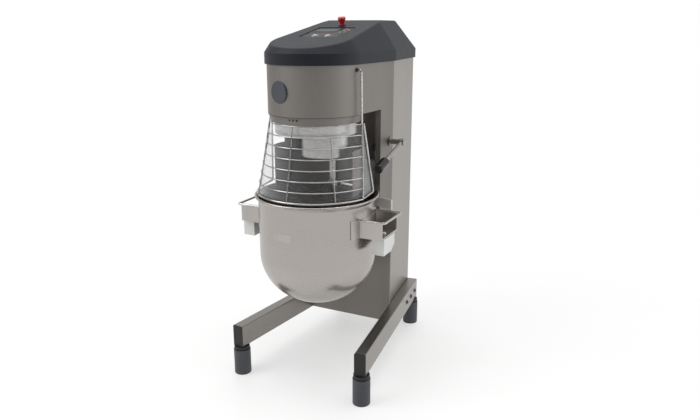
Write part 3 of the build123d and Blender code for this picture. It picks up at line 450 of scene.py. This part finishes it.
# Filled nylon feet: dark grey, matt, slightly worn.
FOOT_NYLON = MouldedPlastic(
    "nylon_foot_moulded", "#42444a", low="#33353a", roughness=0.5, pebble_mm=2.2, depth=0.2
)
# Black nylon caps, gland and bushes.
BLACK_NYLON = MouldedPlastic(
    "nylon_black_moulded", "#171615", low="#100f0e", roughness=0.55, pebble_mm=1.8, depth=0.16
)
# Neoprene belt: fabric-faced and dull.
BELT_RUBBER = MouldedPlastic(
    "neoprene_belt_moulded", "#26262a", low="#18181b", roughness=0.75, pebble_mm=1.2, depth=0.4
)
# Phenolic lever grip: black with a deep polish.
GRIP_PHENOLIC = MouldedPlastic(
    "phenolic_grip_polished", "#17171a", low="#0f0f11", roughness=0.2, pebble_mm=9.0, depth=0.02
)
# Moulded disc on the drum: dark grey-blue, semi-matt.
DISC_ABS = MouldedPlastic(
    "abs_disc_moulded", "#3b3f47", low="#34383f", roughness=0.4, pebble_mm=1.4, depth=0.08
)
# Signal-red button plastic.
RED_PLASTIC = MouldedPlastic(
    "polycarbonate_red_moulded", "#c4232a", low="#aa1a21", roughness=0.28, pebble_mm=5.0, depth=0.02
)
# Green key plastic.
GREEN_PLASTIC = MouldedPlastic(
    "polycarbonate_green_moulded", "#2f8f4e", low="#26773f", roughness=0.3, pebble_mm=5.0, depth=0.02
)
# Pale grey key plastic.
WHITE_PLASTIC = MouldedPlastic(
    "polycarbonate_pale_moulded", "#cfd2d4", low="#bfc2c4", roughness=0.3, pebble_mm=5.0, depth=0.02
)
# Clear formed guard sheet.
GUARD_SHEET = ClearPolycarbonate("polycarbonate_guard_clear", "#f2f4f5")

# ------------------------------------------------------------------ making pieces


def make_piece(
    name: str, shape: bmesh.types.BMesh, finish: Finish, body: str, smooth: bool = True
) -> Any:
    """Turns a bmesh into a finished object that rides on a CAD body.

    Args:
        name: The piece's name.
        shape: Its mesh, already in place; it is freed here.
        finish: What it is made of.
        body: The CAD body it moves with.
        smooth: Whether its faces are shaded smooth.

    Returns:
        The new object.
    """
    bmesh.ops.remove_doubles(shape, verts=shape.verts, dist=1e-6)
    bmesh.ops.recalc_face_normals(shape, faces=shape.faces)
    mesh = bpy.data.meshes.new(name)
    shape.to_mesh(mesh)
    shape.free()
    for polygon in mesh.polygons:
        polygon.use_smooth = smooth
    if smooth:
        mesh.set_sharp_from_angle(angle=radians(35))
    piece = bpy.data.objects.new(name, mesh)
    bpy.context.scene.collection.objects.link(piece)
    mesh.materials.append(finish.material())
    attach(piece, body)
    LOG.info("%s: %d faces on %s", name, len(mesh.polygons), body)
    return piece


def middle(node: str) -> Vector:
    """The middle of a CAD node's box."""
    low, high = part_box(node)
    return (low + high) / 2


def aim(normal: Vector, origin: Vector) -> Matrix:
    """A matrix that turns +Z to a direction and moves the origin to a point.

    Args:
        normal: The direction that +Z turns to.
        origin: Where the origin goes.

    Returns:
        The matrix.
    """
    return Matrix.Translation(origin) @ normal.to_track_quat("Z", "Y").to_matrix().to_4x4()


def turned(profile: list[tuple[float, float]], turn: float = 2 * pi, steps: int = 40) -> bmesh.types.BMesh:
    """Spins a profile about the local Z axis.

    Args:
        profile: Radius and height of each point, in metres.
        turn: How far round it goes, in radians, from +X.
        steps: Segments in the turn.

    Returns:
        The new bmesh.
    """
    shape = bmesh.new()
    points = [shape.verts.new((radius, 0.0, height)) for radius, height in profile]
    edges = [shape.edges.new(pair) for pair in zip(points, points[1:])]
    bmesh.ops.spin(
        shape,
        geom=points + edges,
        cent=(0, 0, 0),
        axis=(0, 0, 1),
        angle=turn,
        steps=steps,
        use_merge=turn == 2 * pi,
    )
    bmesh.ops.remove_doubles(shape, verts=shape.verts, dist=1e-6)
    if turn < 2 * pi:
        bmesh.ops.holes_fill(shape, edges=[edge for edge in shape.edges if edge.is_boundary], sides=8)
    return shape


def rounded_block(size: tuple[float, float, float], edge: float) -> bmesh.types.BMesh:
    """A block with rounded edges, centred on the origin.

    Args:
        size: Its lengths along X, Y and Z, in metres.
        edge: Radius of the edges.

    Returns:
        The new bmesh.
    """
    shape = bmesh.new()
    bmesh.ops.create_cube(shape, size=1.0)
    bmesh.ops.scale(shape, vec=size, verts=shape.verts)
    bmesh.ops.bevel(
        shape,
        geom=shape.edges[:],
        offset=edge,
        offset_type="OFFSET",
        affect="EDGES",
        segments=2,
        profile=0.5,
        material=-1,
    )
    return shape


def merge(whole: bmesh.types.BMesh, part: bmesh.types.BMesh, place: Matrix) -> None:
    """Moves one bmesh into place, adds it to another and frees it.

    Args:
        whole: The bmesh that grows.
        part: The bmesh that is added.
        place: Where it goes.
    """
    part.transform(place)
    scratch = bpy.data.meshes.new("scratch")
    part.to_mesh(scratch)
    part.free()
    whole.from_mesh(scratch)
    bpy.data.meshes.remove(scratch)


def dome(radius: float, height: float) -> list[tuple[float, float]]:
    """Profile of a low domed head that stands on the local XY plane."""
    return [(0.0, height), (radius * 0.6, height * 0.92), (radius * 0.9, height * 0.6), (radius, 0.0)]


def weld_bead(whole: bmesh.types.BMesh, start: Vector, end: Vector, radius: float) -> None:
    """Adds the overlapping ripples of a weld between two points.

    Args:
        whole: The bmesh that gets the bead.
        start: One end of the weld.
        end: Its other end.
        radius: Size of a ripple.
    """
    count = max(2, round((end - start).length / (1.1 * radius)))
    for index in range(count + 1):
        ripple = bmesh.new()
        bmesh.ops.create_icosphere(ripple, subdivisions=2, radius=radius)
        merge(whole, ripple, Matrix.Translation(start.lerp(end, index / count)))


@dataclass
class SubAssembly:
    """A group of CAD nodes with the detail pieces that belong to them."""

    finishes: ClassVar[dict[str, Finish]] = {}

    def dress(self) -> None:
        """Gives each of the group's CAD nodes its finish."""
        for name, finish in self.finishes.items():
            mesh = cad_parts[name].data
            mesh.materials.clear()
            mesh.materials.append(finish.material())

    def build(self) -> None:
        """Makes the group's detail pieces."""


@dataclass
class Legs(SubAssembly):
    """Leg tubes, end caps, bolts and levelling feet."""

    tube_width: float = 50 * MM
    washer_radius: float = 12.5 * MM
    washer_height: float = 1.4 * MM
    head_height: float = 6.2 * MM
    bolts: int = 3
    bolt_head_radius: float = 8.5 * MM
    washer_bore: float = 8.7 * MM
    socket_radius: float = 4.0 * MM
    finishes: ClassVar[dict[str, Finish]] = {
        "leg_tube_left": LEG_STEEL,
        "leg_tube_right": LEG_STEEL,
        "leg_end_caps": BLACK_NYLON,
        "leg_bolts": ZINC_STEEL,
        "foot_collars": BLACK_NYLON,
        "foot_front_left": FOOT_NYLON,
        "foot_front_right": FOOT_NYLON,
        "foot_rear_left": FOOT_NYLON,
        "foot_rear_right": FOOT_NYLON,
    }

    def build(self) -> None:
        """Makes the washers round the leg bolts and dark discs of painted shade for the sockets in their
        heads.
        """
        low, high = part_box("leg_tube_right")
        splay = atan2((high.x - low.x) - self.tube_width, high.y - low.y)
        first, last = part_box("leg_bolts")
        washers, sockets = bmesh.new(), bmesh.new()
        inset = self.bolt_head_radius
        for side in (-1, 1):
            outward = Vector((side * cos(splay), sin(splay), 0.0))
            for index in range(self.bolts):
                y = first.y + inset + (last.y - first.y - 2 * inset) * index / (self.bolts - 1)
                x = high.x - (y - low.y - self.tube_width * sin(splay)) * tan(splay)
                seat = Vector((side * x, y, (first.z + last.z) / 2))
                inner = self.washer_bore
                rim = [(inner, 0.0), (inner, self.washer_height), (self.washer_radius, self.washer_height)]
                merge(washers, turned([*rim, (self.washer_radius, 0.0)]), aim(outward, seat))
                # Dark discs in the bolt heads are painted shade for the hollow hex sockets.
                hole = turned(dome(self.socket_radius, 0.2 * MM), steps=6)
                merge(sockets, hole, aim(outward, seat + outward * self.head_height))
        make_piece("leg_bolt_washers", washers, ZINC_STEEL, "base")
        make_piece("leg_bolt_socket_shade", sockets, BLACK_NYLON, "base")


@dataclass
class Column(SubAssembly):
    """Sheet-metal column, its rear cover and what is fixed inside it."""

    plate_height: float = 330 * MM
    plate_size: tuple[float, float, float] = (80 * MM, 1.6 * MM, 50 * MM)
    rivet_margin: float = 5 * MM
    finishes: ClassVar[dict[str, Finish]] = {
        "column_side_left": COVER_STEEL,
        "column_side_right": COVER_STEEL,
        # The column front and recess cheeks take the darker steel, whose tone is painted shade.
        "column_front": DRUM_STEEL,
        "rear_cover": COVER_STEEL,
        "rear_cover_screws": ZINC_STEEL,
        "column_base": COVER_STEEL,
        "mains_gland": BLACK_NYLON,
        "inverter": MOTOR_ENAMEL,
        "recess_cheeks": DRUM_STEEL,
        "guide_rods": GROUND_STEEL,
        "rod_brackets": CAST_IRON,
    }

    def build(self) -> None:
        """Makes the bare riveted plate on the rear cover."""
        low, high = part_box("rear_cover")
        plate = bmesh.new()
        spot = Vector((0.0, high.y, low.z + self.plate_height))
        merge(plate, rounded_block(self.plate_size, 0.5 * MM), Matrix.Translation(spot))
        for side in (-1, 1):
            for level in (-1, 1):
                across = side * (self.plate_size[0] / 2 - self.rivet_margin)
                along = level * (self.plate_size[2] / 2 - self.rivet_margin)
                corner = spot + Vector((across, self.plate_size[1] / 2, along))
                merge(plate, turned(dome(2.2 * MM, 1.0 * MM), steps=16), aim(Vector((0, 1, 0)), corner))
        make_piece("rear_blank_plate", plate, PLATE_STEEL, "base")


@dataclass
class Head(SubAssembly):
    """Casing of the head, its drum ring and the round disc on the front."""

    disc_face: float = 200.5 * MM
    disc_angle: float = radians(17.8)
    dot_pitch: float = radians(5.0)
    dot_height: float = 19 * MM
    dot_seat: float = 187.8 * MM
    rim_outer: float = 41.7 * MM
    rim_height: float = 0.8 * MM
    finishes: ClassVar[dict[str, Finish]] = {
        # The head casing, drum ring and floor take the darker steel, whose tone is painted shade.
        "head_casing": DRUM_STEEL,
        "drum_ring": DRUM_STEEL,
        "head_floor": DRUM_STEEL,
        "guard_bushes": BLACK_NYLON,
        "hub_badge": DISC_ABS,
    }

    def build(self) -> None:
        """Makes the disc's rim, a dark strip of painted shade in the seam under the casing, and the three
        plugs below it.
        """
        axis = middle("planet_head")
        low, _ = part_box("head_casing")
        disc = middle("hub_badge")
        outward = Vector((-sin(self.disc_angle), -cos(self.disc_angle), 0.0))
        outer_rim, height = self.rim_outer, self.rim_height
        rim = [
            (outer_rim - 2.2 * MM, 0.0),
            (outer_rim - 1.7 * MM, height),
            (outer_rim - 0.5 * MM, height),
            (outer_rim, 0.0),
        ]
        shape = bmesh.new()
        face = Vector((axis.x, axis.y, disc.z)) + outward * self.disc_face
        merge(shape, turned(rim, steps=72), aim(outward, face))
        make_piece("disc_rim", shape, DISC_ABS, "base")

        # Black strip in the seam under the casing: painted shade for the shadow line where casing and drum
        # ring meet.
        radius = axis.y - low.y
        seam = bmesh.new()
        inner, outer = radius - 3 * MM, radius + 0.1 * MM
        lip = [
            (inner, -1.6 * MM),
            (outer, -1.6 * MM),
            (outer, 0.2 * MM),
            (inner, 0.2 * MM),
            (inner, -1.6 * MM),
        ]
        half = turned(lip, turn=pi, steps=64)
        merge(seam, half, Matrix.Translation((axis.x, axis.y, low.z)) @ Matrix.Rotation(pi, 4, "Z"))
        make_piece("head_seam_shade_strip", seam, BLACK_NYLON, "base")

        plugs = bmesh.new()
        ring_low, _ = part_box("drum_ring")
        for step in (-1, 0, 1):
            out = Vector((sin(step * self.dot_pitch), -cos(step * self.dot_pitch), 0.0))
            seat = Vector((axis.x, axis.y, ring_low.z + self.dot_height)) + out * self.dot_seat
            merge(plugs, turned(dome(4.4 * MM, 1.0 * MM), steps=24), aim(out, seat))
        make_piece("drum_ring_plugs", plugs, BLACK_NYLON, "base")


@dataclass
class Hood(SubAssembly):
    """Moulded hood with its key panel and stop button."""

    proud: float = 0.25 * MM
    lamps: int = 5
    lamp_pitch: float = 14 * MM
    lamp_drop: float = 44 * MM
    border_inset: float = 9 * MM
    border_width: float = 0.9 * MM
    arrow_drop: float = 19 * MM
    finishes: ClassVar[dict[str, Finish]] = {
        "hood": HOOD_ABS,
        "panel_fascia": PANEL_FILM,
        "display_window": DISPLAY_ACRYLIC,
        "stop_key": RED_PLASTIC,
        "start_key": GREEN_PLASTIC,
        "speed_up_key": WHITE_PLASTIC,
        "speed_down_key": WHITE_PLASTIC,
        "stop_collar": BLACK_NYLON,
        "stop_button": RED_PLASTIC,
    }

    def panel_matrix(self) -> Matrix:
        """Places details flat on the key panel.

        Returns:
            Local frame on the fascia: X to the right, Y up the slope, Z out of it.
        """
        up_slope = (middle("stop_key") - middle("start_key")).normalized()
        normal = Vector((1, 0, 0)).cross(up_slope).normalized()
        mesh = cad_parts["panel_fascia"].data
        height = max(vert.co.dot(normal) for vert in mesh.vertices)
        centre = middle("panel_fascia")
        centre += normal * (height - centre.dot(normal))
        rotation = Matrix((Vector((1, 0, 0)), up_slope, normal)).transposed().to_4x4()
        return Matrix.Translation(centre) @ rotation

    def build(self) -> None:
        """Makes the rings round the keys, the printed border, the pointers and the row of lamps."""
        panel = self.panel_matrix()
        inverse = panel.inverted()
        rings = bmesh.new()
        for key in ("stop_key", "start_key", "speed_up_key", "speed_down_key"):
            spot = inverse @ middle(key)
            low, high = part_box(key)
            radius = (high.x - low.x) / 2
            band = [
                (radius + 1.5 * MM, 0.0),
                (radius + 1.7 * MM, self.proud),
                (radius + 2.9 * MM, self.proud),
            ]
            place = panel @ Matrix.Translation((spot.x, spot.y, 0.0))
            merge(rings, turned([*band, (radius + 3.1 * MM, 0.0)], steps=48), place)
        make_piece("panel_key_rings", rings, WHITE_PLASTIC, "base")

        prints = bmesh.new()
        low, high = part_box("panel_fascia")
        half_x = (high.x - low.x) / 2 - self.border_inset
        half_y = (high.y - low.y) / 2 - self.border_inset
        for side in (-1, 1):
            edge = rounded_block((2 * half_x, self.border_width, 2 * self.proud), 0.1 * MM)
            merge(prints, edge, panel @ Matrix.Translation((0.0, side * half_y, 0.0)))
            edge = rounded_block((self.border_width, 2 * half_y, 2 * self.proud), 0.1 * MM)
            merge(prints, edge, panel @ Matrix.Translation((side * half_x, 0.0, 0.0)))
        for key, turn in (("speed_up_key", pi / 2), ("speed_down_key", -pi / 2)):
            spot = inverse @ middle(key)
            arrow = turned([(0.0, self.proud), (4.0 * MM, self.proud), (4.2 * MM, 0.0)], steps=3)
            place = panel @ Matrix.Translation((spot.x, spot.y - self.arrow_drop, 0.0)) @ Matrix.Rotation(
                turn, 4, "Z"
            )
            merge(prints, arrow, place)
        make_piece("panel_print", prints, WHITE_PLASTIC, "base")

        lamps = bmesh.new()
        window = inverse @ middle("display_window")
        for index in range(self.lamps):
            x = window.x + (index - (self.lamps - 1) / 2) * self.lamp_pitch
            place = panel @ Matrix.Translation((x, window.y - self.lamp_drop, 0.0))
            merge(lamps, turned(dome(2.2 * MM, 0.9 * MM), steps=20), place)
        make_piece("panel_lamps", lamps, RED_PLASTIC, "base")


@dataclass
class Drive(SubAssembly):
    """Motor, pulleys, belt and bearings inside the head."""

    finishes: ClassVar[dict[str, Finish]] = {
        "gearbox_plate": CAST_IRON,
        "main_bearings": GROUND_STEEL,
        "ring_gear": GROUND_STEEL,
        "motor_housing": MOTOR_ENAMEL,
        "motor_shaft": GROUND_STEEL,
        "main_pulley": CAST_IRON,
        "motor_pulley": CAST_IRON,
        "drive_belt": BELT_RUBBER,
    }


@dataclass
class Planet(SubAssembly):
    """Planet head with its shafts and the scraper's socket."""

    screws: int = 6
    screw_circle: float = 147 * MM
    screw_radius: float = 6.5 * MM
    screw_height: float = 7.0 * MM
    flange_bottom: float = 1098 * MM
    finishes: ClassVar[dict[str, Finish]] = {
        "main_shaft": GROUND_STEEL,
        "planet_head": PLANET_ALLOY,
        "scraper_socket": BLACK_NYLON,
        "tool_shaft": GROUND_STEEL,
        "planet_pinion": GROUND_STEEL,
    }

    def build(self) -> None:
        """Makes the cap screws under the planet's flange, with dark discs of painted shade for their sockets.
        """
        axis = middle("planet_head")
        heads, sockets = bmesh.new(), bmesh.new()
        down = Vector((0, 0, -1))
        for index in range(self.screws):
            angle = pi / self.screws + 2 * pi * index / self.screws
            out = Vector((cos(angle), sin(angle), 0.0)) * self.screw_circle
            seat = Vector((axis.x, axis.y, self.flange_bottom)) + out
            top = self.screw_height
            profile = [(0.0, top), (self.screw_radius - 0.8 * MM, top), (self.screw_radius, top - 0.8 * MM)]
            merge(heads, turned([*profile, (self.screw_radius, 0.0)], steps=32), aim(down, seat))
            # Dark disc in each screw head is painted shade for its hollow socket.
            merge(sockets, turned(dome(3.2 * MM, 0.2 * MM), steps=6), aim(down, seat + down * top))
        make_piece("planet_cap_screws", heads, ZINC_STEEL, "planet")
        make_piece("planet_screw_socket_shade", sockets, BLACK_NYLON, "planet")


@dataclass
class Lift(SubAssembly):
    """Carriage, fork and rack that raise the bowl."""

    bolt_radius: float = 8 * MM
    bolt_height: float = 5.5 * MM
    bolt_x: float = 148 * MM
    bolt_levels: tuple[float, float] = (40 * MM, 100 * MM)
    finishes: ClassVar[dict[str, Finish]] = {
        "lift_carriage": LIFT_ENAMEL,
        "lift_fork": LIFT_ENAMEL,
        "lift_rack": GROUND_STEEL,
        "lift_pinion": GROUND_STEEL,
    }

    def build(self) -> None:
        """Makes the hex bolts that hold the fork's roots to the carriage."""
        low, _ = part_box("lift_carriage")
        bolts = bmesh.new()
        for side in (-1, 1):
            for level in self.bolt_levels:
                radius, top = self.bolt_radius, self.bolt_height
                profile = [(0.0, top), (radius - 1 * MM, top), (radius, top - 0.9 * MM)]
                head = turned([*profile, (radius, 0.0)], steps=6)
                seat = Vector((side * self.bolt_x, low.y, low.z + level))
                merge(bolts, head, aim(Vector((0, -1, 0)), seat))
        make_piece("carriage_bolts", bolts, ZINC_STEEL, "lift")


@dataclass
class Lever(SubAssembly):
    """Side lever that works the lift."""

    cap_radius: float = 11 * MM
    cap_height: float = 2.2 * MM
    ferrule_bore: float = 9.2 * MM
    ferrule_radius: float = 12 * MM
    ferrule_half: float = 3 * MM
    ferrule_place: float = 43 * MM

    finishes: ClassVar[dict[str, Finish]] = {
        "lever_bushes": BRONZE,
        "lever_shaft": GROUND_STEEL,
        "lever_arm": ZINC_STEEL,
        "lever_grip": GRIP_PHENOLIC,
    }

    def build(self) -> None:
        """Makes the domed end of the shaft and the ferrule where the arm enters the grip."""
        low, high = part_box("lever_shaft")
        centre = Vector((high.x, (low.y + high.y) / 2, (low.z + high.z) / 2))
        cap = bmesh.new()
        merge(cap, turned(dome(self.cap_radius, self.cap_height)), aim(Vector((1, 0, 0)), centre))
        make_piece("lever_shaft_cap", cap, ZINC_STEEL, "lever")
        grip = middle("lever_grip")
        along = grip - Vector((grip.x, centre.y, centre.z))
        along.normalize()
        ferrule = bmesh.new()
        bore, radius, half = self.ferrule_bore, self.ferrule_radius, self.ferrule_half
        profile = [(bore, -half), (radius, -half), (radius + 0.6 * MM, 0.0), (radius, half), (bore, half)]
        merge(ferrule, turned(profile), aim(along, grip - along * self.ferrule_place))
        make_piece("lever_ferrule", ferrule, ZINC_STEEL, "lever")


@dataclass
class Bowl(SubAssembly):
    """Bowl with its lugs and wire handles."""

    wall_radius: float = 252 * MM
    pad_half_width: float = 124 * MM
    plate_turn: float = radians(20)
    plate_start: float = radians(-106)
    plate_height: float = 30 * MM
    bead: float = 1.5 * MM
    finishes: ClassVar[dict[str, Finish]] = {
        "bowl": BOWL_STEEL,
        "bowl_lugs": PLATE_STEEL,
        "bowl_handles": WIRE_STEEL,
    }

    def build(self) -> None:
        """Makes the weld beads beside the lugs' pads and the bare plate on the front."""
        axis = middle("planet_head")
        low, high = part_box("bowl_lugs")
        radius = self.wall_radius + 1 * MM
        reach = (radius**2 - self.pad_half_width**2) ** 0.5
        welds = bmesh.new()
        for side in (-1, 1):
            for end in (-1, 1):
                x, y = side * reach, axis.y + end * (self.pad_half_width + 0.5 * MM)
                weld_bead(welds, Vector((x, y, low.z)), Vector((x, y, high.z)), self.bead)
        make_piece("lug_pad_welds", welds, PLATE_STEEL, "bowl_unit")
        back, face = self.wall_radius - 0.2 * MM, self.wall_radius + 0.5 * MM
        top, ease = self.plate_height, 0.4 * MM
        sheet = [(back, 0.0), (face, ease), (face, top - ease), (back, top), (back, 0.0)]
        plate = bmesh.new()
        place = Matrix.Translation((axis.x, axis.y, low.z - 5 * MM)) @ Matrix.Rotation(
            self.plate_start, 4, "Z"
        )
        merge(plate, turned(sheet, turn=self.plate_turn, steps=24), place)
        make_piece("bowl_blank_plate", plate, PLATE_STEEL, "bowl_unit")


@dataclass
class SplashSheet(SubAssembly):
    """Fixed curved sheet behind the planet that closes the back of the guard, hung from the drum ring; its
    dark steel is painted shade standing in for the shaded recess behind the guard.
    """

    radius: float = 190 * MM
    thickness: float = 1.5 * MM
    bottom: float = 846 * MM
    top: float = 1035 * MM
    hanger_top: float = 1151 * MM
    hanger_width: float = radians(7)
    start: float = radians(-11)
    turn: float = radians(202)
    hem_radius: float = 2.5 * MM
    hem_sides: int = 12
    hangers: tuple[float, float] = (radians(60), radians(120))

    def section(self, low: float, high: float) -> list[tuple[float, float]]:
        """Closed section of the sheet between two heights."""
        inner = self.radius - self.thickness
        return [(inner, low), (self.radius, low), (self.radius, high), (inner, high), (inner, low)]

    def build(self) -> None:
        """Makes the sheet, its rolled top edge and two hangers."""
        axis = middle("planet_head")
        origin = Matrix.Translation((axis.x, axis.y, 0.0))
        shape = bmesh.new()
        from_start = origin @ Matrix.Rotation(self.start, 4, "Z")
        merge(shape, turned(self.section(self.bottom, self.top), turn=self.turn, steps=96), from_start)
        round_hem = (2 * pi * step / self.hem_sides for step in range(self.hem_sides + 1))
        hem = [
            (self.radius + self.hem_radius * cos(a), self.top + self.hem_radius * sin(a)) for a in round_hem
        ]
        merge(shape, turned(hem, turn=self.turn, steps=96), from_start)
        for angle in self.hangers:
            strap = turned(self.section(self.top, self.hanger_top), turn=self.hanger_width, steps=6)
            merge(shape, strap, origin @ Matrix.Rotation(angle - self.hanger_width / 2, 4, "Z"))
        # The sheet in dark steel is painted shade for the recess seen through the guard.
        make_piece("rear_shade_sheet", shape, DRUM_STEEL, "base")


@dataclass
class Guard(SubAssembly):
    """Wire guard and its clear shield."""

    seal_outer: float = 252.5 * MM
    seal_inner: float = 247.5 * MM
    seal_height: float = 5.5 * MM
    seal_from: float = radians(-161)
    seal_turn: float = radians(142)
    finishes: ClassVar[dict[str, Finish]] = {
        "guard_cage": WIRE_STEEL,
        "guard_shield": GUARD_SHEET,
    }

    def build(self) -> None:
        """Makes a dark ring of painted shade in the gap under the guard's lowest ring."""
        axis = middle("planet_head")
        low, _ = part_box("guard_cage")
        bottom = low.z - self.seal_height
        inner, outer, top = self.seal_inner, self.seal_outer, self.seal_height
        profile = [(inner, 0.0), (outer, 0.0), (outer, top), (inner, top), (inner, 0.0)]
        # Black ring in the gap between guard and bowl rim: painted shade for the shadow there.
        seal = bmesh.new()
        place = Matrix.Translation((axis.x, axis.y, bottom)) @ Matrix.Rotation(self.seal_from, 4, "Z")
        merge(seal, turned(profile, turn=self.seal_turn, steps=72), place)
        make_piece("guard_gap_shade", seal, BLACK_NYLON, "guard")


@dataclass
class Studio:
    """Floor, lights and camera."""

    camera_place: tuple[float, float, float] = (1.31554, -2.58932, 1.52595)
    pitch: float = 15.77
    azimuth: float = 25.94
    lens_mm: float = 33.546
    floor_size: float = 60.0

    def build_floor(self) -> None:
        """Makes the pale floor: it takes the shadow near the object and is plain white far from it."""
        shape = bmesh.new()
        bmesh.ops.create_grid(shape, x_segments=4, y_segments=4, size=self.floor_size / 2)
        mesh = bpy.data.meshes.new("studio_floor")
        shape.to_mesh(mesh)
        shape.free()
        floor = bpy.data.objects.new("studio_floor", mesh)
        bpy.context.scene.collection.objects.link(floor)
        paint = bpy.data.materials.new("studio_floor_matt")
        paint.use_nodes = True
        tree = paint.node_tree
        shader = tree.nodes["Principled BSDF"]
        place = add_node(tree, "ShaderNodeTexCoord")
        mottle = add_node(
            tree,
            "ShaderNodeTexNoise",
            {"Vector": place.outputs["Object"], "Scale": 1.5, "Detail": 3.0},
        )
        tone = add_node(tree, "ShaderNodeValToRGB", {"Fac": mottle.outputs["Fac"]})
        set_ramp(tone, [(0.3, "#f6f6f5"), (0.7, "#fafafa")])
        tree.links.new(tone.outputs["Color"], shader.inputs["Base Color"])
        shader.inputs["Roughness"].default_value = 0.35
        distance = add_node(tree, "ShaderNodeVectorMath", {0: place.outputs["Object"]}, operation="LENGTH")
        fade = add_node(
            tree,
            "ShaderNodeMapRange",
            {"Value": distance.outputs["Value"], "From Min": 0.4, "From Max": 2.2, "To Min": 0.5},
        )
        white = add_node(tree, "ShaderNodeEmission", {"Color": (1.0, 1.0, 1.0, 1.0), "Strength": 1.0})
        blend = add_node(
            tree,
            "ShaderNodeMixShader",
            {0: fade.outputs[0], 1: shader.outputs[0], 2: white.outputs[0]},
        )
        tree.links.new(blend.outputs[0], tree.nodes["Material Output"].inputs["Surface"])
        mesh.materials.append(paint)

    def add_light(self, name: str, place: tuple[float, float, float], size: float, power: float) -> None:
        """Adds one soft square light that faces the middle of the object.

        Args:
            name: The light's name.
            place: Where it stands.
            size: Its side.
            power: Its power in watts.
        """
        data = bpy.data.lights.new(name, "AREA")
        data.shape = "SQUARE"
        data.size = size
        data.energy = power
        lamp = bpy.data.objects.new(name, data)
        bpy.context.scene.collection.objects.link(lamp)
        lamp.location = place
        lamp.rotation_euler = (Vector(place) - Vector((0.0, 0.0, 0.8))).to_track_quat("Z", "Y").to_euler()

    def build_lights(self) -> None:
        """Sets the soft lights and the pale surroundings."""
        self.add_light("key_light", (-3.4, -3.0, 4.0), 3.5, 135)
        self.add_light("side_light", (4.4, 1.2, 2.4), 4.5, 50)
        self.add_light("top_light", (0.0, 0.0, 5.2), 4.5, 150)
        world = bpy.data.worlds.new("studio_surroundings")
        bpy.context.scene.world = world
        world.use_nodes = True
        tree = world.node_tree
        back = tree.nodes["Background"]
        place = add_node(tree, "ShaderNodeTexCoord")
        split = add_node(tree, "ShaderNodeSeparateXYZ", {"Vector": place.outputs["Generated"]})
        depth = add_node(
            tree, "ShaderNodeMapRange", {"Value": split.outputs["Y"], "From Min": -1.0, "From Max": 0.6}
        )
        tone = add_node(tree, "ShaderNodeValToRGB", {"Fac": depth.outputs["Result"]})
        set_ramp(tone, [(0.0, "#7c7c7c"), (0.55, "#a4a4a4"), (1.0, "#e6e6e6")])
        seen = add_node(tree, "ShaderNodeLightPath")
        pick = add_node(
            tree,
            "ShaderNodeMix",
            {"Factor": seen.outputs["Is Camera Ray"], "A": tone.outputs["Color"], "B": (1.0, 1.0, 1.0, 1.0)},
            data_type="RGBA",
        )
        tree.links.new(pick.outputs["Result"], back.inputs["Color"])
        back.inputs["Strength"].default_value = 1.0

    def build_camera(self) -> None:
        """Places the camera."""
        data = bpy.data.cameras.new("studio_camera")
        data.lens = self.lens_mm
        data.sensor_width = 36.0
        data.clip_end = 100.0
        camera = bpy.data.objects.new("studio_camera", data)
        bpy.context.scene.collection.objects.link(camera)
        camera.location = self.camera_place
        camera.rotation_euler = (radians(90 - self.pitch), 0.0, radians(self.azimuth))
        bpy.context.scene.camera = camera
        bpy.context.scene.view_settings.view_transform = "Standard"


def main() -> None:
    """Builds the mixer's looks and its studio."""
    groups = (
        Legs(),
        Column(),
        Head(),
        Hood(),
        Drive(),
        Planet(),
        Lift(),
        Lever(),
        Bowl(),
        SplashSheet(),
        Guard(),
    )
    for group in groups:
        group.dress()
        group.build()
    dressed = {name for group in groups for name in group.finishes}
    missing = set(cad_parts) - dressed
    if missing:
        raise RuntimeError(f"no finish for {sorted(missing)}")
    studio = Studio()
    studio.build_floor()
    studio.build_lights()
    studio.build_camera()


if __name__ == "__main__":
    main()
